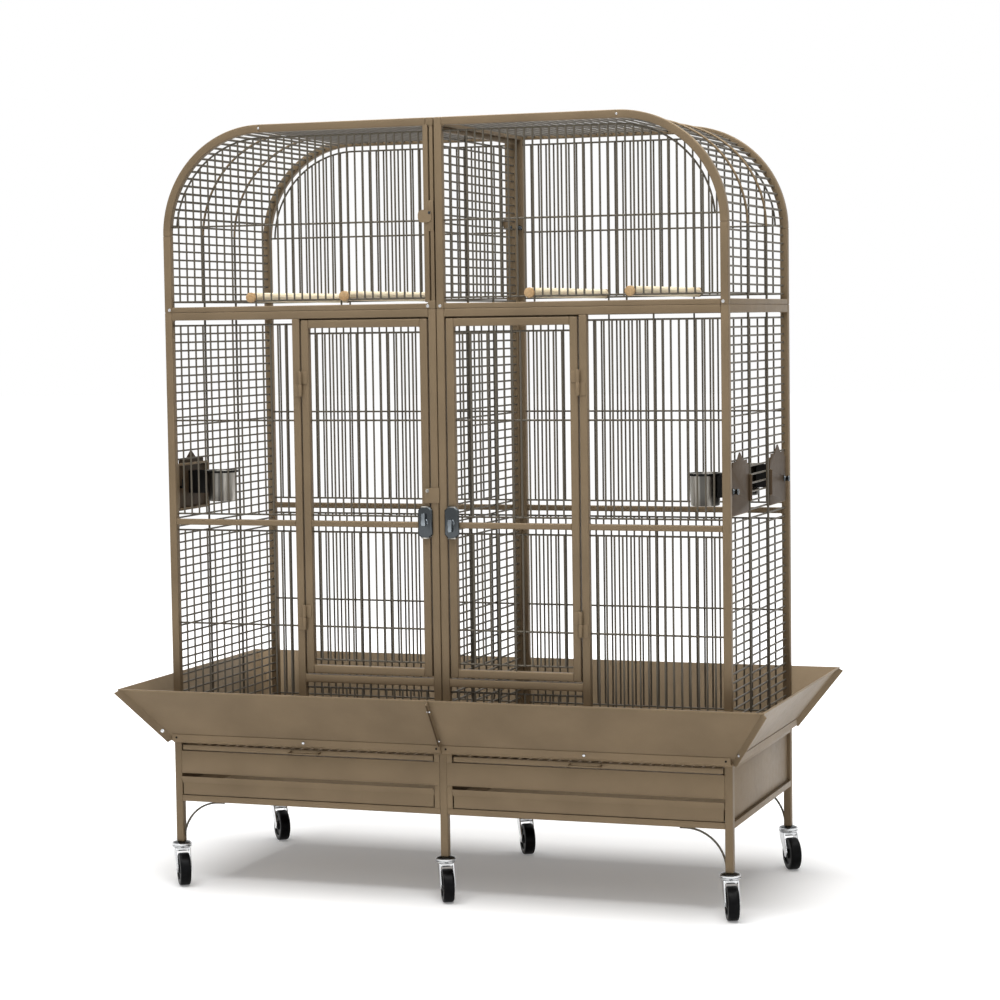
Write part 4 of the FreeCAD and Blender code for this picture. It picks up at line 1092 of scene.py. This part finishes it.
class CAGE_OT_bolts(Operator):
    """Bolts of the skirts, the seams and the arch, and the clips that hold the two halves"""

    bl_idname = "cage.bolts"
    bl_label = "Bolts and clips"

    def execute(self, context):
        sizes = context.scene.cage_sizes
        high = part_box("lower_frame")[1]
        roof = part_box("upper_frame")[1]
        base_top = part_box("base_panels")[1].z
        seam_level, inset = high.z + 0.0065, 0.012
        bright, dark = bmesh.new(), bmesh.new()
        for way in WAYS:
            for front in WAYS:
                face = front * high.y
                seam = 0.0105 if way > 0 else 0.0205
                for x, z, share in ((high.x - 0.0130, seam_level, 0.85), (seam, seam_level, 0.85),
                                    (high.x - sizes.arch, roof.z - TUBE / 2, 0.6)):
                    add_bolt(bright, (way * x, face, z), Y * front, share * sizes.bolt)
                for out, lift in ((0.0895, 0.105), (0.0290, 0.026)):
                    rib = Vector((way * RIB, face + front * out, base_top + lift))
                    add_bolt(bright, rib, X * way, sizes.bolt)
                across = (Y * front - X * way).normalized()
                out = 0.022
                corner = Vector((way * (high.x + out), face + front * out, base_top + 0.021))
                add_bolt(bright, corner + across * RIB, across, sizes.bolt)
                for x in (inset, high.x - inset):
                    spot = Vector((way * x, face + front * STRIP_FACE, base_top + STRIP_BOLTS))
                    add_bolt(dark, spot, Y * front, 0.6 * sizes.bolt)
        place_piece(context, "frame_bolts", bright, CAGE, CHROME_SLOT)
        place_piece(context, "strip_bolts", dark, CAGE, LOCK_SLOT, look=BRACKET_LOOK)
        self.skirt_screws(context, -high.y - STRIP_FACE, base_top + STRIP_BOLTS)
        self.tab_bolt(context, sizes.bolt)
        self.clips(context, roof.y)
        return {"FINISHED"}

    def skirt_screws(self, context, face, level):
        """Bright domed screw in the front clamp strip over each grate's pull."""
        mesh = bmesh.new()
        dome = ((0.0042, 0.0), (0.0042, 0.0007), (0.0036, 0.0020), (0.0022, 0.0030), (0.0006, 0.0034))
        for side in SIDES:
            low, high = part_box(side + "_grate")
            add_lathe(mesh, dome, ((low.x + high.x) / 2, face, level), -Y, sides=20)
        place_piece(context, "skirt_screws", mesh, CAGE, CHROME_SLOT)

    def tab_bolt(self, context, radius):
        """Bolt that holds the stop tab on the left door."""
        low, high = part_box("left_door_stop")
        inset = 0.007
        mesh = bmesh.new()
        add_bolt(mesh, (low.x + inset, low.y, high.z - inset), -Y, radius)
        place_piece(context, "tab_bolt", mesh, body_of("left_door_stop"), STEEL_SLOT)

    def clips(self, context, reach):
        """Clips on the upper posts left of the seam, each with a screw, and knobs behind both posts."""
        level, thick, hook, hook_deep = 1.632, 0.0022, 0.0035, 0.016
        plate_x, hook_left, hook_right, screw_x = -0.024, -0.0301, -0.0275, -0.012
        screw_up, screw_seat, screw, knob_down = 0.008, 0.0020, 0.0024, 0.012
        plates, knobs = bmesh.new(), bmesh.new()
        outline = square_outline(0.034, 0.030, 0.011)
        knob = ((0.0062, 0.0), (0.0062, 0.0070), (0.0048, 0.0110), (0.0020, 0.0125))
        for front in WAYS:
            face = front * reach
            ends = sorted((face, face + front * thick))
            rows = [add_ring(plates, (plate_x, y, level), X, Z, outline) for y in ends]
            bridge(plates, rows, smooth=False)
            add_block(plates, (hook_left, face, level - hook),
                      (hook_right, face - front * hook_deep, level + hook), radius=0.0006)
            seat = Vector((screw_x, face + front * screw_seat, level + screw_up))
            add_bolt(knobs, seat, Y * front, screw)
            for x in (-0.010, 0.012):
                inner = Vector((x, face - front * TUBE, level - knob_down))
                add_lathe(knobs, knob, inner, Y * -front, sides=16)
        place_piece(context, "seam_clips", plates, CAGE, PAINT_SLOT)
        place_piece(context, "seam_knobs", knobs, CAGE, LOCK_SLOT)


class CAGE_OT_stage(Operator):
    """Pale floor, soft light and the camera"""

    bl_idname = "cage.stage"
    bl_label = "Stage"

    def execute(self, context):
        self.floor(context)
        self.lights(context)
        self.room(context)
        self.camera(context)
        return {"FINISHED"}

    def floor(self, context):
        """Wide pale floor."""
        mesh = bmesh.new()
        bmesh.ops.create_grid(mesh, x_segments=1, y_segments=1, size=40.0)
        data = bpy.data.meshes.new("studio_floor")
        mesh.to_mesh(data)
        mesh.free()
        data.materials.append(material("pale_floor", floor_coat, context.scene.cage_colours.floor))
        floor = bpy.data.objects.new("studio_floor", data)
        context.scene.collection.objects.link(floor)

    def lights(self, context):
        """One large soft light overhead and a weaker one above the front."""
        for name, place, aim, size, power in (
                ("key_light", (2.4, -3.6, 3.4), (0.0, -0.7, 0.4), 2.4, 24.0),
                ("top_light", (-0.1, -0.5, 4.9), (-0.1, -0.5, 0.0), 5.2, 455.0)):
            lamp = bpy.data.lights.new(name, "AREA")
            lamp.shape = "SQUARE"
            lamp.size = size
            lamp.energy = power
            holder = bpy.data.objects.new(name, lamp)
            holder.location = place
            holder.rotation_euler = (Vector(aim) - Vector(place)).to_track_quat("-Z", "Y").to_euler()
            context.scene.collection.objects.link(holder)

    def room(self, context):
        """White room to the eye that gives an even light, a little stronger from the left."""
        world = bpy.data.worlds.new("white_room")
        context.scene.world = world
        world.use_nodes = True
        tree = world.node_tree
        way = shader_node(tree, "ShaderNodeTexCoord").outputs["Generated"]
        across = shader_node(tree, "ShaderNodeSeparateXYZ", {"Vector": way}).outputs["X"]
        light = span(tree, across, 0.24, 0.20, -0.6, 0.6)
        strength = span(tree, seen_by_eye(tree), light, 1.0)
        set_inputs(tree, tree.nodes["Background"], {"Color": WHITE, "Strength": strength})

    def camera(self, context):
        """Camera at the photograph's place and angle."""
        yaw, pitch, roll = math.radians(19.528), math.radians(3.925), math.radians(-0.817)
        matrix = Matrix.Translation((2.206, -6.087, 1.384))
        for angle, axis in ((yaw, "Z"), (RIGHT_ANGLE - pitch, "X"), (roll, "Z")):
            matrix = matrix @ Matrix.Rotation(angle, 4, axis)
        data = bpy.data.cameras.new("view_camera")
        data.lens = 94.16
        data.sensor_width = 36.0
        data.clip_end = 200.0
        camera = bpy.data.objects.new("view_camera", data)
        camera.matrix_world = matrix
        context.scene.collection.objects.link(camera)
        context.scene.camera = camera
        context.scene.view_settings.view_transform = "Standard"


class CAGE_PT_sidebar(Panel):
    """Sizes, colours and steps of the cage's finish"""

    bl_idname = "CAGE_PT_sidebar"
    bl_label = "Parrot cage"
    bl_space_type = "VIEW_3D"
    bl_region_type = "UI"
    bl_category = "Cage"

    def draw(self, context):
        column = self.layout.column()
        for group in (context.scene.cage_sizes, context.scene.cage_colours):
            for name in group.__annotations__:
                column.prop(group, name)
        for step in STEPS:
            column.operator(step.bl_idname)


STEPS = (CAGE_OT_stage, CAGE_OT_bars, CAGE_OT_tubes, CAGE_OT_base, CAGE_OT_doors, CAGE_OT_locks,
         CAGE_OT_feeders, CAGE_OT_perches, CAGE_OT_casters, CAGE_OT_bolts)
CLASSES = (CageSizes, CageColours) + STEPS + (CAGE_PT_sidebar,)


def register():
    """Register the classes and their settings."""
    for cls in CLASSES:
        bpy.utils.register_class(cls)
    bpy.types.Scene.cage_sizes = PointerProperty(type=CageSizes)
    bpy.types.Scene.cage_colours = PointerProperty(type=CageColours)


def unregister():
    """Remove the settings and the classes."""
    del bpy.types.Scene.cage_colours
    del bpy.types.Scene.cage_sizes
    for cls in reversed(CLASSES):
        bpy.utils.unregister_class(cls)


def main():
    """Dress the frame."""
    register()
    bpy.ops.cage.stage()
    bpy.ops.cage.bars()
    bpy.ops.cage.tubes()
    bpy.ops.cage.base()
    bpy.ops.cage.doors()
    bpy.ops.cage.locks()
    bpy.ops.cage.feeders()
    bpy.ops.cage.perches()
    bpy.ops.cage.casters()
    bpy.ops.cage.bolts()


if __name__ == "__main__":
    main()
